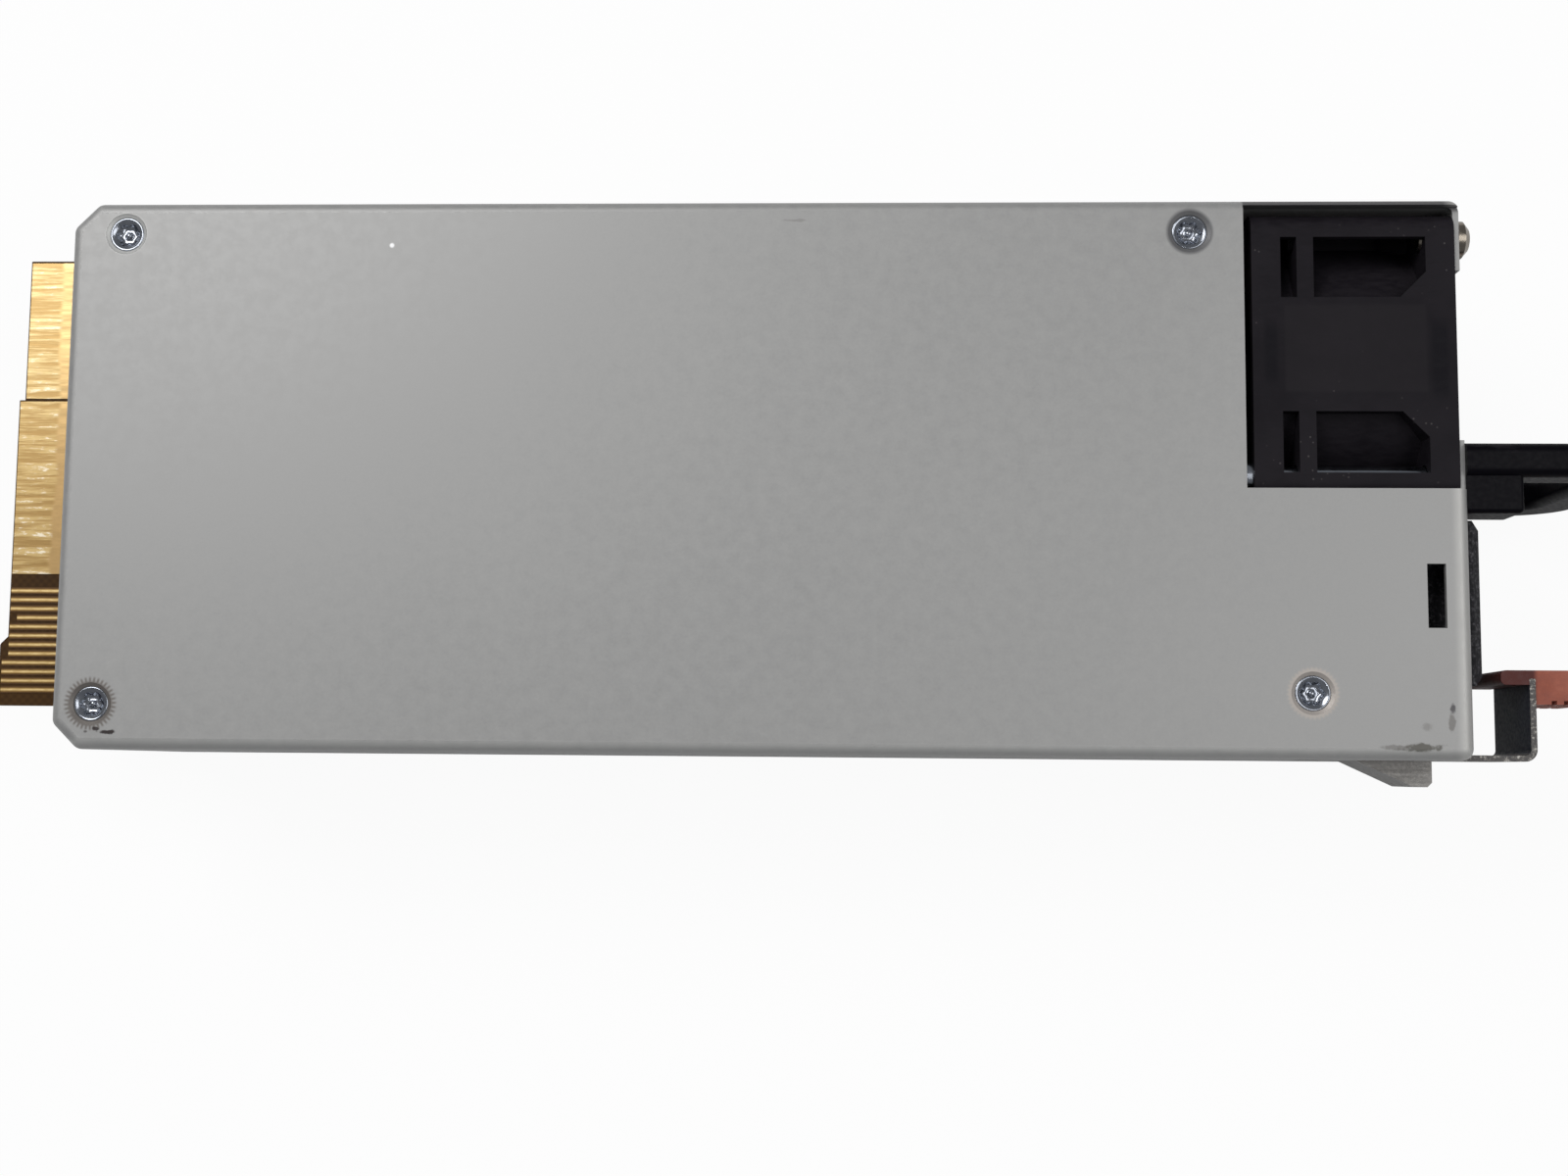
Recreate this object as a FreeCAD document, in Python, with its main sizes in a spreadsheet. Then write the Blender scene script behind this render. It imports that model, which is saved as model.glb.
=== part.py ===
"""A hot swap server power supply: sheet metal case, card edge, fan, inlet, handle, release latch, power stages.

Millimetres. +X points to the rear panel, +Y to the fan's side, +Z to the chassis floor, which carries the boards.
The origin is the middle of the cover's outer face. The unit lies on its cover.
"""

import FreeCAD, Part
import math
import os
import re

import Sketcher
from FreeCAD import Placement, Rotation, Vector

SIZES = {
    # sheet metal case
    "case_length": 185.0,
    "case_width": 73.5,
    "case_height": 40.0,
    "sheet_gauge": 0.8,
    "bend_radius": 1.5,
    "lead_in": 3.4,  # the cut corners of the connector end
    "cover_flange": 7.0,
    "fit_gap": 0.1,  # between pieces that are pushed together
    "cover_screw_radius": 1.25,
    "cover_screw_head": 2.2,
    "cover_screw_front": 22.5,  # from the connector end
    "cover_screw_spacing": 115.0,
    # flush screws through the chassis floor into the main board's standoffs
    "board_screw_radius": 1.5,
    "board_screw_head": 2.3,
    "board_screw_countersink": 1.1,
    "board_screw_sink": 0.25,
    "board_screw_rim": 0.5,
    "front_screw_inset": 7.5,  # from the connector end and from the sides to the screws' axes
    "front_screw_inset_low": 5.4,
    "rear_screw_inset": 35.5,
    "tongue_screw_inset": 3.5,
    "high_screw_inset": 4.4,
    "low_screw_inset": 5.95,
    "tongue_screw_side": 8.45,
    "board_screw_length": 5.0,
    "socket_radius": 1.15,
    "dimple_depth": 1.0,
    "standoff_length": 3.4,
    "standoff_radius": 3.1,
    # fan window and small slot in the chassis floor
    "window_length": 28.5,
    "window_edge": -1.7,
    "floor_slot_x": "=case_length / 2 - 4.5",
    "floor_slot_y": -15.65,
    "floor_slot_length": 2.4,
    "floor_slot_width": 8.3,
    # fan
    "fan_side": 38.0,
    "fan_depth": 26.5,
    "fan_y": 16.2,
    "fan_z": "=case_height / 2",
    "fan_hole_pitch": 32.0,
    "fan_hole_radius": 1.75,
    "fan_bore_radius": 17.7,
    "fan_tip_gap": 0.7,
    "fan_flange": 3.8,
    "fan_wall": 1.0,
    "fan_pocket_near": 7.6,
    "fan_pocket_far": 15.7,
    "fan_pocket_web": 3.4,  # the cut corner beside the rear flange
    "fan_rib_start": 5.9,
    "fan_rib_width": 2.2,
    "fan_corner_radius": 2.2,
    "hub_radius": 9.8,
    "hub_length": 19.0,
    "hub_wall": 1.6,
    "hub_rear_gap": 1.5,
    "motor_plate": 2.0,
    "strut_width": 2.2,
    "strut_depth": 2.6,
    "blade_root_chord": 15.5,
    "blade_tip_chord": 17.5,
    "blade_root_angle": 38.0,
    "blade_tip_angle": 60.0,
    "blade_camber": 1.7,
    "blade_gauge": 0.9,
    "shaft_radius": 1.45,
    "bearing_radius": 2.5,
    "bearing_length": 3.0,
    "bearing_play": 0.05,
    "bearing_tube_wall": 1.1,
    "stator_radius": 6.9,
    "stator_length": 7.0,
    "magnet_gauge": 0.9,
    "magnet_length": 9.0,
    "fan_screw_head": 2.5,
    "fan_screw_head_height": 1.7,
    "handle_screw_grip": 5.5,
    # fan openings of the rear wall
    "grille_radius": 17.0,
    "grille_cell": 4.0,
    "grille_web": 0.75,
    "grille_notch_width": 22.6,
    "grille_notch_floor": "=case_height - 6",
    # handle
    "handle_y": 2.25,
    "handle_width": 4.5,
    "handle_reach": 25.5,
    "handle_low": 0.6,
    "handle_high": "=case_height - 0.6",
    "handle_bar": 6.8,
    "handle_corner": 9.0,
    "handle_inner_corner": 4.2,
    "handle_round": 1.3,
    "handle_boss_length": 7.5,
    "handle_boss_width": 9.2,
    "handle_boss_height": 7.4,
    # appliance inlet
    "inlet_y": -16.15,
    "inlet_z": "=case_height / 2",
    "inlet_flange_width": 21.7,
    "inlet_flange_height": 31.0,
    "inlet_flange_proud": 2.8,
    "inlet_flange_bevel": 1.2,
    "inlet_body_width": 20.6,
    "inlet_body_height": 27.4,
    "inlet_body_depth": 14.5,
    "inlet_cavity_width": 16.6,
    "inlet_cavity_height": 24.4,
    "inlet_cavity_depth": 15.6,
    "inlet_cavity_bevel": 4.2,
    "pin_width": 4.0,
    "pin_gauge": 2.0,
    "pin_spread": 7.0,
    "pin_offset": 2.0,
    "pin_setback": 2.6,
    "pin_tail": 5.0,
    # release latch
    "latch_gauge": 0.8,
    "latch_hinge_x": "=case_length / 2 - 62.5",
    "latch_root": 5.0,
    "latch_gap": 0.5,
    "latch_joggle_x": "=case_length / 2 - 20.5",
    "latch_joggle_length": 3.5,
    "latch_low": "=case_height - 21.2",
    "latch_high": "=case_height - 7.4",
    "latch_reach": 10.3,
    "latch_tab": 10.9,
    "latch_play": 0.4,
    "latch_travel_room": 6.1,
    "tooth_stop_x": "=case_length / 2 - 3",
    "tooth_length": 9.9,
    "tooth_crest": 2.4,
    "tooth_proud": 3.45,
    "tooth_low": "=latch_low + 2.2",
    "tooth_high": "=latch_high - 1.6",
    "rivet_radius": 1.4,
    "rivet_head": 2.6,
    "rivet_head_height": 0.9,
    "rivet_play": 0.25,
    "rivet_inset": 3.4,
    "pad_inner": 3.7,
    "pad_outer": 10.0,
    "pad_thickness": 4.5,
    "pad_lip": 1.9,
    "pad_below": 1.4,
    "pad_round": 1.4,
    # card edge
    "board_gauge": 1.6,
    "copper": 0.1,
    "card_top": "=case_height - 16.6",
    "card_reach": 13.8,
    "card_inside": 30.0,
    "card_low_y": -30.6,
    "card_high_y": 33.2,
    "card_bevel": 0.25,
    "card_first_step": 0.8,
    "card_last_step": 1.1,
    "card_last_step_y": -21.0,
    "power_pad_split": 12.95,
    "power_pad_gap": 0.4,
    "power_pad_end": -12.0,
    "pad_setback": 0.05,
    "pad_inside": 6.0,
    "finger_pitch": 1.27,
    "finger_width": 0.97,
    "finger_start": -14.4,
    "finger_short": 1.0,
    # boards
    "board_clearance": 1.7,
    "board_rear": "=case_length / 2 - 30.5",
    "board_tongue": "=case_length / 2 - 17",
    "board_tongue_y": -4.6,
    "insulator_gauge": 0.4,
    # power parts hanging under the main board
    "bulk_radius": 14.0,
    "bulk_length": 46.0,
    "bulk_x": 7.0,
    "bulk_y": 20.9,
    "transformer_x": -28.0,
    "transformer_y": 12.0,
    "transformer_length": 32.0,
    "transformer_width": 23.0,
    "transformer_height": 27.0,
    "transformer_post": 6.5,
    "transformer_window": 18.0,
    "pfc_choke_x": 20.0,
    "pfc_choke_y": -20.3,
    "choke_outer": 11.0,
    "choke_inner": 6.0,
    "choke_height": 10.0,
    "winding_gauge": 1.4,
    "sink_gauge": 2.0,
    "sink_fin": 1.1,
    "sink_fin_depth": 6.0,
    "sink_height": 26.0,
    "sink_length": 28.0,
    "transistor_width": 10.2,
    "transistor_gauge": 4.5,
    "transistor_height": 15.5,
    "output_cap_radius": 4.0,
    "output_cap_height": 12.0,
    "y_cap_radius": 3.6,
    "y_cap_gauge": 3.4,
    "wire_radius": 0.9,
    "lamp_y": -31.4,
    "lamp_z": 9.0,
    "lamp_radius": 1.5,
    "air_slot_pitch": 9.6,
    "air_slot_length": 6.4,
}

doc = FreeCAD.newDocument("hot_swap_power_supply")
sheet = doc.addObject("Spreadsheet::Sheet", "sizes")
for row, (name, size) in enumerate(SIZES.items(), start=1):
    sheet.set(f"A{row}", name)
    sheet.set(f"B{row}", str(size))
    sheet.setAlias(f"B{row}", name)
doc.recompute()

# faces of the case that other pieces seat on
REAR = "case_length / 2"
REAR_IN = "(case_length / 2 - sheet_gauge)"
FRONT = "-case_length / 2"
FRONT_IN = "(sheet_gauge - case_length / 2)"
SIDE = "case_width / 2"
SIDE_IN = "(case_width / 2 - sheet_gauge)"
FLOOR = "case_height"
FLOOR_IN = "(case_height - sheet_gauge)"
BOARD_TOP = "(case_height - sheet_gauge - dimple_depth - standoff_length)"
BOARD_UNDER = "(case_height - sheet_gauge - dimple_depth - standoff_length - board_gauge)"
BOARD_SCREWS = (
    (f"(front_screw_inset + {FRONT})", f"({SIDE} - high_screw_inset)"),
    (f"(front_screw_inset_low + {FRONT})", f"(low_screw_inset - {SIDE})"),
    (f"({REAR} - rear_screw_inset)", f"({SIDE} - high_screw_inset)"),
    ("(board_tongue - tongue_screw_inset)", f"(tongue_screw_side - {SIDE})"),
)
FAR = "200"


# ---------------------------------------------------------------- helpers


def words(text):
    """An expression in size names, with each name pointed at the sheet."""
    return re.sub(r"[a-z]\w+", lambda m: f"sizes.{m.group()}" if m.group() in SIZES else m.group(), str(text))


def number(text):
    return float(sheet.evalExpression(words(text)))


def bind(thing, prop, text):
    thing.setExpression(prop, words(text))


def place(thing, x="0", y="0", z="0", rotation=None):
    """Put an object at a point given by expressions, turned by a fixed rotation."""
    if rotation is not None:
        thing.Placement = Placement(Vector(), rotation)
    for axis, text in zip("xyz", (x, y, z)):
        bind(thing, f"Placement.Base.{axis}", text)
    return thing


def named(kind, label):
    thing = doc.addObject(kind, label)
    thing.Label = label
    return thing


def block(label, x, y, z):
    """A box between pairs of expressions."""
    solid = named("Part::Box", label)
    for side, (low, high) in zip(("Length", "Width", "Height"), (x, y, z)):
        bind(solid, side, f"({high}) - ({low})")
    return place(solid, x[0], y[0], z[0])


TURNS = {
    "x": Rotation(Vector(0, 1, 0), 90),
    "y": Rotation(Vector(1, 0, 0), -90),
    "z": Rotation(),
}


def along(axis, start, centre):
    """The base point of a round piece whose axis runs along x, y or z."""
    first, second = centre
    return {
        "x": (start, first, second),
        "y": (first, start, second),
        "z": (first, second, start),
    }[axis]


def rod(label, axis, radius, span, centre):
    solid = named("Part::Cylinder", label)
    bind(solid, "Radius", radius)
    bind(solid, "Height", f"({span[1]}) - ({span[0]})")
    return place(solid, *along(axis, span[0], centre), TURNS[axis])


def cone(label, axis, radii, span, centre):
    solid = named("Part::Cone", label)
    bind(solid, "Radius1", radii[0])
    bind(solid, "Radius2", radii[1])
    bind(solid, "Height", f"({span[1]}) - ({span[0]})")
    return place(solid, *along(axis, span[0], centre), TURNS[axis])


def hexagon(label, axis, corner_radius, span, centre):
    solid = named("Part::Prism", label)
    solid.Polygon = 6
    bind(solid, "Circumradius", corner_radius)
    bind(solid, "Height", f"({span[1]}) - ({span[0]})")
    return place(solid, *along(axis, span[0], centre), TURNS[axis])


def fuse(label, pieces):
    solid = named("Part::MultiFuse", label)
    solid.Shapes = pieces
    solid.Refine = True
    return solid


def group(label, pieces):
    """Separate solids that share one node."""
    solid = named("Part::Compound", label)
    solid.Links = pieces
    return solid


def cut(label, base, tool):
    solid = named("Part::Cut", label)
    solid.Base = base
    solid.Tool = tool
    solid.Refine = True
    return solid


def copies(label, piece, places):
    """Copies of one piece at points given by expressions, as one node. A place may end with a rotation."""
    links = []
    for spot in places:
        link = named("App::Link", f"{label}_{len(links) + 1}")
        link.LinkedObject = piece
        place(link, *spot)
        links.append(link)
    return group(label, links)


def new_body(label):
    return named("PartDesign::Body", label)


def draw(body, role, offset, *loops):
    """A sketch on one of the body's own origin planes, moved along its normal.

    Each loop is a list of (x, y) expressions, or a circle given as (x, y, radius).
    """
    plane = next(f for f in body.Origin.OriginFeatures if f.Role == role)
    sketch = body.newObject("Sketcher::SketchObject", f"{body.Label}_sketch")
    sketch.AttachmentSupport = (plane, [""])
    sketch.MapMode = "FlatFace"
    bind(sketch, "AttachmentOffset.Base.z", offset)
    for loop in loops:
        if isinstance(loop, tuple):
            draw_circle(sketch, *loop)
        else:
            draw_polygon(sketch, loop)
    return sketch


def pin_point(sketch, geometry, point, x, y):
    for kind, text in (("DistanceX", x), ("DistanceY", y)):
        index = sketch.addConstraint(Sketcher.Constraint(kind, -1, 1, geometry, point, number(text)))
        bind(sketch, f"Constraints[{index}]", text)


def draw_circle(sketch, x, y, radius):
    circle = Part.Circle(Vector(number(x), number(y), 0), Vector(0, 0, 1), number(radius))
    index = sketch.addGeometry(circle, False)
    limit = sketch.addConstraint(Sketcher.Constraint("Radius", index, number(radius)))
    bind(sketch, f"Constraints[{limit}]", radius)
    pin_point(sketch, index, 3, x, y)


def draw_polygon(sketch, points):
    corners = [Vector(number(x), number(y), 0) for x, y in points]
    first = sketch.GeometryCount
    for start, end in zip(corners, corners[1:] + corners[:1]):
        sketch.addGeometry(Part.LineSegment(start, end), False)
    for step in range(len(points)):
        after = first + (step + 1) % len(points)
        sketch.addConstraint(Sketcher.Constraint("Coincident", first + step, 2, after, 1))
    for step, (x, y) in enumerate(points):
        pin_point(sketch, first + step, 1, x, y)


def rectangle(x, y):
    return [(x[0], y[0]), (x[1], y[0]), (x[1], y[1]), (x[0], y[1])]


def feature(body, kind, sketch, length, reverse=False):
    """A Pad or Pocket of a sketch. The pocket's volume is compared, since one that points away cuts nothing."""
    before = body.Shape.Volume if body.Tip else 0.0
    made = body.newObject(f"PartDesign::{kind}", f"{body.Label}_{kind.lower()}")
    made.Profile = sketch
    made.Reversed = reverse
    bind(made, "Length", length)
    doc.recompute()
    if kind == "Pocket" and made.Shape.Volume > before - 1e-6:
        raise RuntimeError(f"{body.Label}: a pocket cuts nothing")
    return made


def soften(body, kind, size, test):
    """Fillet or chamfer the edges of the body's tip that the test accepts."""
    tip = body.Tip
    chosen = [f"Edge{i}" for i, edge in enumerate(tip.Shape.Edges, start=1) if test(edge)]
    if not chosen:
        raise RuntimeError(f"{body.Label}: no edge to soften")
    made = body.newObject(f"PartDesign::{kind}", f"{body.Label}_{kind.lower()}")
    made.Base = (tip, chosen)
    bind(made, {"Fillet": "Radius", "Chamfer": "Size"}[kind], size)
    doc.recompute()
    return made


def runs(edge, axis):
    """Whether an edge is straight and runs along x, y or z."""
    box = edge.BoundBox
    spread = {"x": (box.YLength, box.ZLength), "y": (box.XLength, box.ZLength), "z": (box.XLength, box.YLength)}
    return max(spread[axis]) < 1e-6


def turned(label, axis, profile):
    """A body revolved round its own X or Z axis from an outline of (along, out) expressions."""
    body = new_body(label)
    role, line = {"x": ("XY_Plane", "H_Axis"), "z": ("XZ_Plane", "V_Axis")}[axis]
    points = [(a, b) if axis == "x" else (b, a) for a, b in profile]
    sketch = draw(body, role, "0", points)
    made = body.newObject("PartDesign::Revolution", f"{label}_revolution")
    made.Profile = sketch
    made.ReferenceAxis = (sketch, [line])
    made.Angle = 360
    doc.recompute()
    return body


# ---------------------------------------------------------------- sheet metal case


def case_outline():
    """The plan of the case: a rectangle with the connector end's two corners cut at 45 degrees."""
    return [
        (FRONT, f"lead_in - {SIDE}"),
        (f"{FRONT} + lead_in", f"-{SIDE}"),
        (REAR, f"-{SIDE}"),
        (REAR, SIDE),
        (f"{FRONT} + lead_in", SIDE),
        (FRONT, f"{SIDE} - lead_in"),
    ]


def make_chassis():
    """The deep tray: floor, four walls, and every opening punched in them."""
    pan = new_body("chassis_pan")
    feature(pan, "Pad", draw(pan, "XY_Plane", "sheet_gauge", case_outline()), f"{FLOOR} - sheet_gauge")
    top = number(FLOOR)
    soften(pan, "Fillet", "bend_radius", lambda edge: runs(edge, "z") or abs(edge.BoundBox.ZMin - top) < 1e-6)
    solid = pan.Tip
    rim = number("sheet_gauge")
    open_face = [
        f"Face{i}" for i, face in enumerate(solid.Shape.Faces, start=1) if abs(face.BoundBox.ZMax - rim) < 1e-6
    ]
    shell = pan.newObject("PartDesign::Thickness", "chassis_shell")
    shell.Base = (solid, open_face)
    shell.Reversed = True
    bind(shell, "Value", "sheet_gauge")
    doc.recompute()
    punch_floor(pan)
    punch_rear_wall(pan)
    punch_latch_wall(pan)
    punch_connector_wall(pan)
    dimples = [dimple(i, x, y) for i, (x, y) in enumerate(BOARD_SCREWS, start=1)]
    tray = fuse("chassis_tray", [pan] + dimples)
    holes = [screw_seat(i, x, y) for i, (x, y) in enumerate(BOARD_SCREWS, start=1)]
    holes += cover_screw_seats()
    holes += grille_cells()
    holes.append(rivet_seats())
    return cut("chassis", tray, group("chassis_holes", holes))


def punch_floor(pan):
    window = rectangle((f"{REAR} - window_length", "case_length"), ("window_edge", SIDE_IN))
    feature(pan, "Pocket", draw(pan, "XY_Plane", FLOOR, window), "bend_radius + 0.1")
    slot = rectangle(
        ("floor_slot_x - floor_slot_length / 2", "floor_slot_x + floor_slot_length / 2"),
        ("floor_slot_y - floor_slot_width / 2", "floor_slot_y + floor_slot_width / 2"),
    )
    feature(pan, "Pocket", draw(pan, "XY_Plane", FLOOR, slot), "bend_radius")


def punch_rear_wall(pan):
    """The lowered edge behind the fan, the inlet's cut-out and the latch's way through, cut from outside."""
    low = "grille_notch_floor"
    half = "grille_notch_width / 2"
    notch = [
        (f"fan_y - {half} + 1", low),
        (f"fan_y + {half} - 1", low),
        (f"fan_y + {half}", "grille_notch_floor + 1"),
        (f"fan_y + {half}", FAR),
        (f"fan_y - {half}", FAR),
        (f"fan_y - {half}", "grille_notch_floor + 1"),
    ]
    inlet = rectangle(
        ("inlet_y - inlet_body_width / 2 - fit_gap", "inlet_y + inlet_body_width / 2 + fit_gap"),
        ("inlet_z - inlet_body_height / 2 - fit_gap", "inlet_z + inlet_body_height / 2 + fit_gap"),
    )
    latch = rectangle(
        (f"-{SIDE} - 1", f"latch_travel_room - {SIDE}"),
        ("latch_low - latch_play", "latch_high + latch_play"),
    )
    screws = [
        (f"fan_y + {side} * fan_hole_pitch / 2", f"fan_z + {level} * fan_hole_pitch / 2", "fan_hole_radius")
        for side in (-1, 1)
        for level in (-1, 1)
    ]
    lamp = ("lamp_y", "lamp_z", "lamp_radius + fit_gap / 2")
    feature(pan, "Pocket", draw(pan, "YZ_Plane", REAR, notch, inlet, latch, lamp, *screws), "bend_radius", False)


def punch_latch_wall(pan):
    """The side wall's notch, open to the rear, which the latch's tail and tooth lie in."""
    notch = rectangle(
        ("latch_joggle_x + 0.6", "case_length"),
        ("latch_low - latch_play", "latch_high + latch_play"),
    )
    feature(pan, "Pocket", draw(pan, "XZ_Plane", SIDE, notch), "bend_radius")


def punch_connector_wall(pan):
    """The card's slot and two rows of air slots, cut from inside towards the connector end."""
    card = rectangle(
        ("card_low_y - 0.5", "card_high_y + 0.5"),
        ("card_top - board_gauge - 0.6", "card_top + 0.6"),
    )
    slots = []
    for level in (("4.0", "9.0"), ("11.5", "18.5"), ("28.0", "35.0")):
        for step in range(-3, 4):
            middle = f"{step} * air_slot_pitch"
            slots.append(rectangle((f"{middle} - air_slot_length / 2", f"{middle} + air_slot_length / 2"), level))
    sketch = draw(pan, "YZ_Plane", f"{FRONT} + bend_radius", card, *slots)
    feature(pan, "Pocket", sketch, "bend_radius + 1")


def dimple(index, x, y):
    """The pressed seat of a flush screw, standing in from the chassis floor."""
    low = f"{FLOOR_IN} - dimple_depth"
    radii = ("board_screw_radius + 1.3", "board_screw_head + 1.1")
    return cone(f"dimple_{index}", "z", radii, (low, FLOOR_IN), (x, y))


def screw_seat(index, x, y):
    """The countersink that the head lies in, a little below the floor's face, with a wider rim."""
    mouth = f"({FLOOR} - board_screw_sink)"
    radii = ("board_screw_radius + 0.05", "board_screw_head + 0.05")
    seat = cone(f"screw_seat_{index}", "z", radii, (f"{mouth} - board_screw_countersink", mouth), (x, y))
    radii = ("board_screw_head + 0.05", "board_screw_head + board_screw_rim")
    rim = cone(f"screw_rim_{index}", "z", radii, (mouth, FLOOR), (x, y))
    hole = rod(f"screw_hole_{index}", "z", "board_screw_radius + 0.05", (f"{BOARD_TOP} - 1", mouth), (x, y))
    return fuse(f"screw_cut_{index}", [seat, rim, hole])


COVER_SCREW_Z = "sheet_gauge + cover_flange / 2"


def cover_screw_places():
    first = f"{FRONT} + cover_screw_front"
    return [first, f"{first} + cover_screw_spacing"]


def cover_screw_seats():
    seats = []
    for x in cover_screw_places():
        for side, (start, end) in ((1, (SIDE_IN, SIDE)), (-1, (f"-{SIDE}", f"-{SIDE_IN}"))):
            inner, outer = "cover_screw_radius + fit_gap", "cover_screw_head + fit_gap"
            radii = (inner, outer) if side == 1 else (outer, inner)
            seats.append(cone(f"cover_seat_{len(seats) + 1}", "y", radii, (start, end), (x, COVER_SCREW_Z)))
    return seats


def grille_cells():
    """The honeycomb behind the fan: every whole cell that lies inside the fan's bore and under the lowered edge."""
    cells = []
    corner = number("grille_cell") / math.sqrt(3)
    reach = number("grille_radius") - corner
    ceiling = number("grille_notch_floor - fan_z") - 1 - corner
    rows = int(number("grille_radius / grille_cell")) + 1
    for row in range(-rows, rows + 1):
        for column in range(-rows, rows + 1):
            across = column + (row % 2) / 2
            up = row * math.sqrt(3) / 2
            pitch = number("grille_cell + grille_web")
            if math.hypot(across * pitch, up * pitch) > reach or up * pitch > ceiling:
                continue
            centre = (
                f"fan_y + {across} * (grille_cell + grille_web)",
                f"fan_z + {up:.5f} * (grille_cell + grille_web)",
            )
            name = f"grille_cell_{len(cells) + 1}"
            span = (f"{REAR} - sheet_gauge - 0.2", f"{REAR} + 0.2")
            cells.append(hexagon(name, "x", "grille_cell / sqrt(3)", span, centre))
    for cell in cells:
        cell.Placement = Placement(cell.Placement.Base, TURNS["x"])
    return cells


def rivet_seats():
    seats = []
    for z in rivet_levels():
        span = (f"-{SIDE}", f"-{SIDE_IN}")
        radii = ("rivet_radius + 0.85", "rivet_radius + 0.05")
        seats.append(cone(f"rivet_seat_{len(seats) + 1}", "y", radii, span, ("latch_hinge_x", z)))
    return fuse("rivet_seats", seats)


def rivet_levels():
    return ["latch_low + rivet_inset", "latch_high - rivet_inset"]


def make_cover():
    """The flat cover with a flange along each side that the side walls lap over."""
    body = new_body("cover_plate")
    feature(body, "Pad", draw(body, "XY_Plane", "0", case_outline()), "sheet_gauge")
    length = (f"{FRONT} + 10", f"{REAR} - fan_depth - 10")
    flanges = []
    for side in (-1, 1):
        outer = f"{side} * ({SIDE_IN} - fit_gap)"
        inner = f"{side} * ({SIDE_IN} - fit_gap - sheet_gauge)"
        flanges.append(rectangle(length, (inner, outer) if side == 1 else (outer, inner)))
    feature(body, "Pad", draw(body, "XY_Plane", "sheet_gauge", *flanges), "cover_flange")
    holes = []
    for x in cover_screw_places():
        span = (f"-{SIDE}", SIDE)
        holes.append(rod(f"cover_hole_{len(holes) + 1}", "y", "cover_screw_radius + 0.05", span, (x, COVER_SCREW_Z)))
    return cut("cover", body, group("cover_holes", holes))


def make_cover_screws():
    screw = turned(
        "cover_screw",
        "z",
        [
            ("0", "0"),
            ("0", "cover_screw_head"),
            ("-sheet_gauge", "cover_screw_radius"),
            ("-4", "cover_screw_radius"),
            ("-4.4", "cover_screw_radius - 0.4"),
            ("-4.4", "0"),
        ],
    )
    places = []
    for x in cover_screw_places():
        places.append((x, SIDE, COVER_SCREW_Z, Rotation(Vector(1, 0, 0), -90)))
        places.append((x, f"-{SIDE}", COVER_SCREW_Z, Rotation(Vector(1, 0, 0), 90)))
    return copies("cover_screws", screw, places)


def make_board_screws():
    shank = turned(
        "board_screw_blank",
        "z",
        [
            ("0", "0"),
            ("0", "board_screw_head"),
            ("-board_screw_countersink", "board_screw_radius"),
            ("0.4 - board_screw_length", "board_screw_radius"),
            ("-board_screw_length", "board_screw_radius - 0.4"),
            ("-board_screw_length", "0"),
        ],
    )
    socket = hexagon("board_screw_socket", "z", "socket_radius", ("-1.2", "0"), ("0", "0"))
    screw = cut("board_screw", shank, socket)
    return copies("board_screws", screw, [(x, y, f"{FLOOR} - board_screw_sink") for x, y in BOARD_SCREWS])


def make_standoffs():
    """Hexagonal standoffs swaged into the main board, tapped for the flush screws."""
    across = hexagon("standoff_barrel", "z", "standoff_radius", ("0", "standoff_length"), ("0", "0"))
    collar = rod("standoff_collar", "z", "standoff_radius - 1", ("-board_gauge", "0"), ("0", "0"))
    bore = rod("standoff_bore", "z", "board_screw_radius", ("-board_gauge", "standoff_length"), ("0", "0"))
    standoff = cut("standoff", fuse("standoff_blank", [across, collar]), bore)
    return copies("board_standoffs", standoff, [(x, y, BOARD_TOP) for x, y in BOARD_SCREWS])


# ---------------------------------------------------------------- fan

FAN_FRONT = "(case_length / 2 - sheet_gauge - fan_depth)"
HUB_FRONT = "(case_length / 2 - sheet_gauge - motor_plate - hub_rear_gap - hub_length)"
HUB_REAR = "(case_length / 2 - sheet_gauge - motor_plate - hub_rear_gap)"
TUBE_RADIUS = "(bearing_radius + bearing_tube_wall)"
TUBE_FRONT = "(case_length / 2 - sheet_gauge - motor_plate - hub_rear_gap - hub_length + 5)"


def fan_corners():
    return [(side, level) for side in (-1, 1) for level in (-1, 1)]


def make_fan_frame():
    """The moulded housing: a square block round the bore, pocketed at its corners, with the motor's seat."""
    body = new_body("fan_housing")
    half = "fan_side / 2"
    square = rectangle((f"fan_y - {half}", f"fan_y + {half}"), (f"fan_z - {half}", f"fan_z + {half}"))
    holes = [
        (f"fan_y + {side} * fan_hole_pitch / 2", f"fan_z + {level} * fan_hole_pitch / 2", "fan_hole_radius")
        for side, level in fan_corners()
    ]
    bore = ("fan_y", "fan_z", "fan_bore_radius")
    feature(body, "Pad", draw(body, "YZ_Plane", FAN_FRONT, square, bore, *holes), "fan_depth")
    corner = number("fan_side") / 2
    axis_y, axis_z = number("fan_y"), number("fan_z")

    def at_corner(edge):
        box = edge.BoundBox
        far_y = abs(abs(box.YMin - axis_y) - corner) < 1e-4
        far_z = abs(abs(box.ZMin - axis_z) - corner) < 1e-4
        return runs(edge, "x") and far_y and far_z

    soften(body, "Fillet", "fan_corner_radius", at_corner)
    hollow = cut("fan_hollow", body, fan_pockets())
    return fuse("fan_frame", [hollow] + fan_motor_seat())


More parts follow.
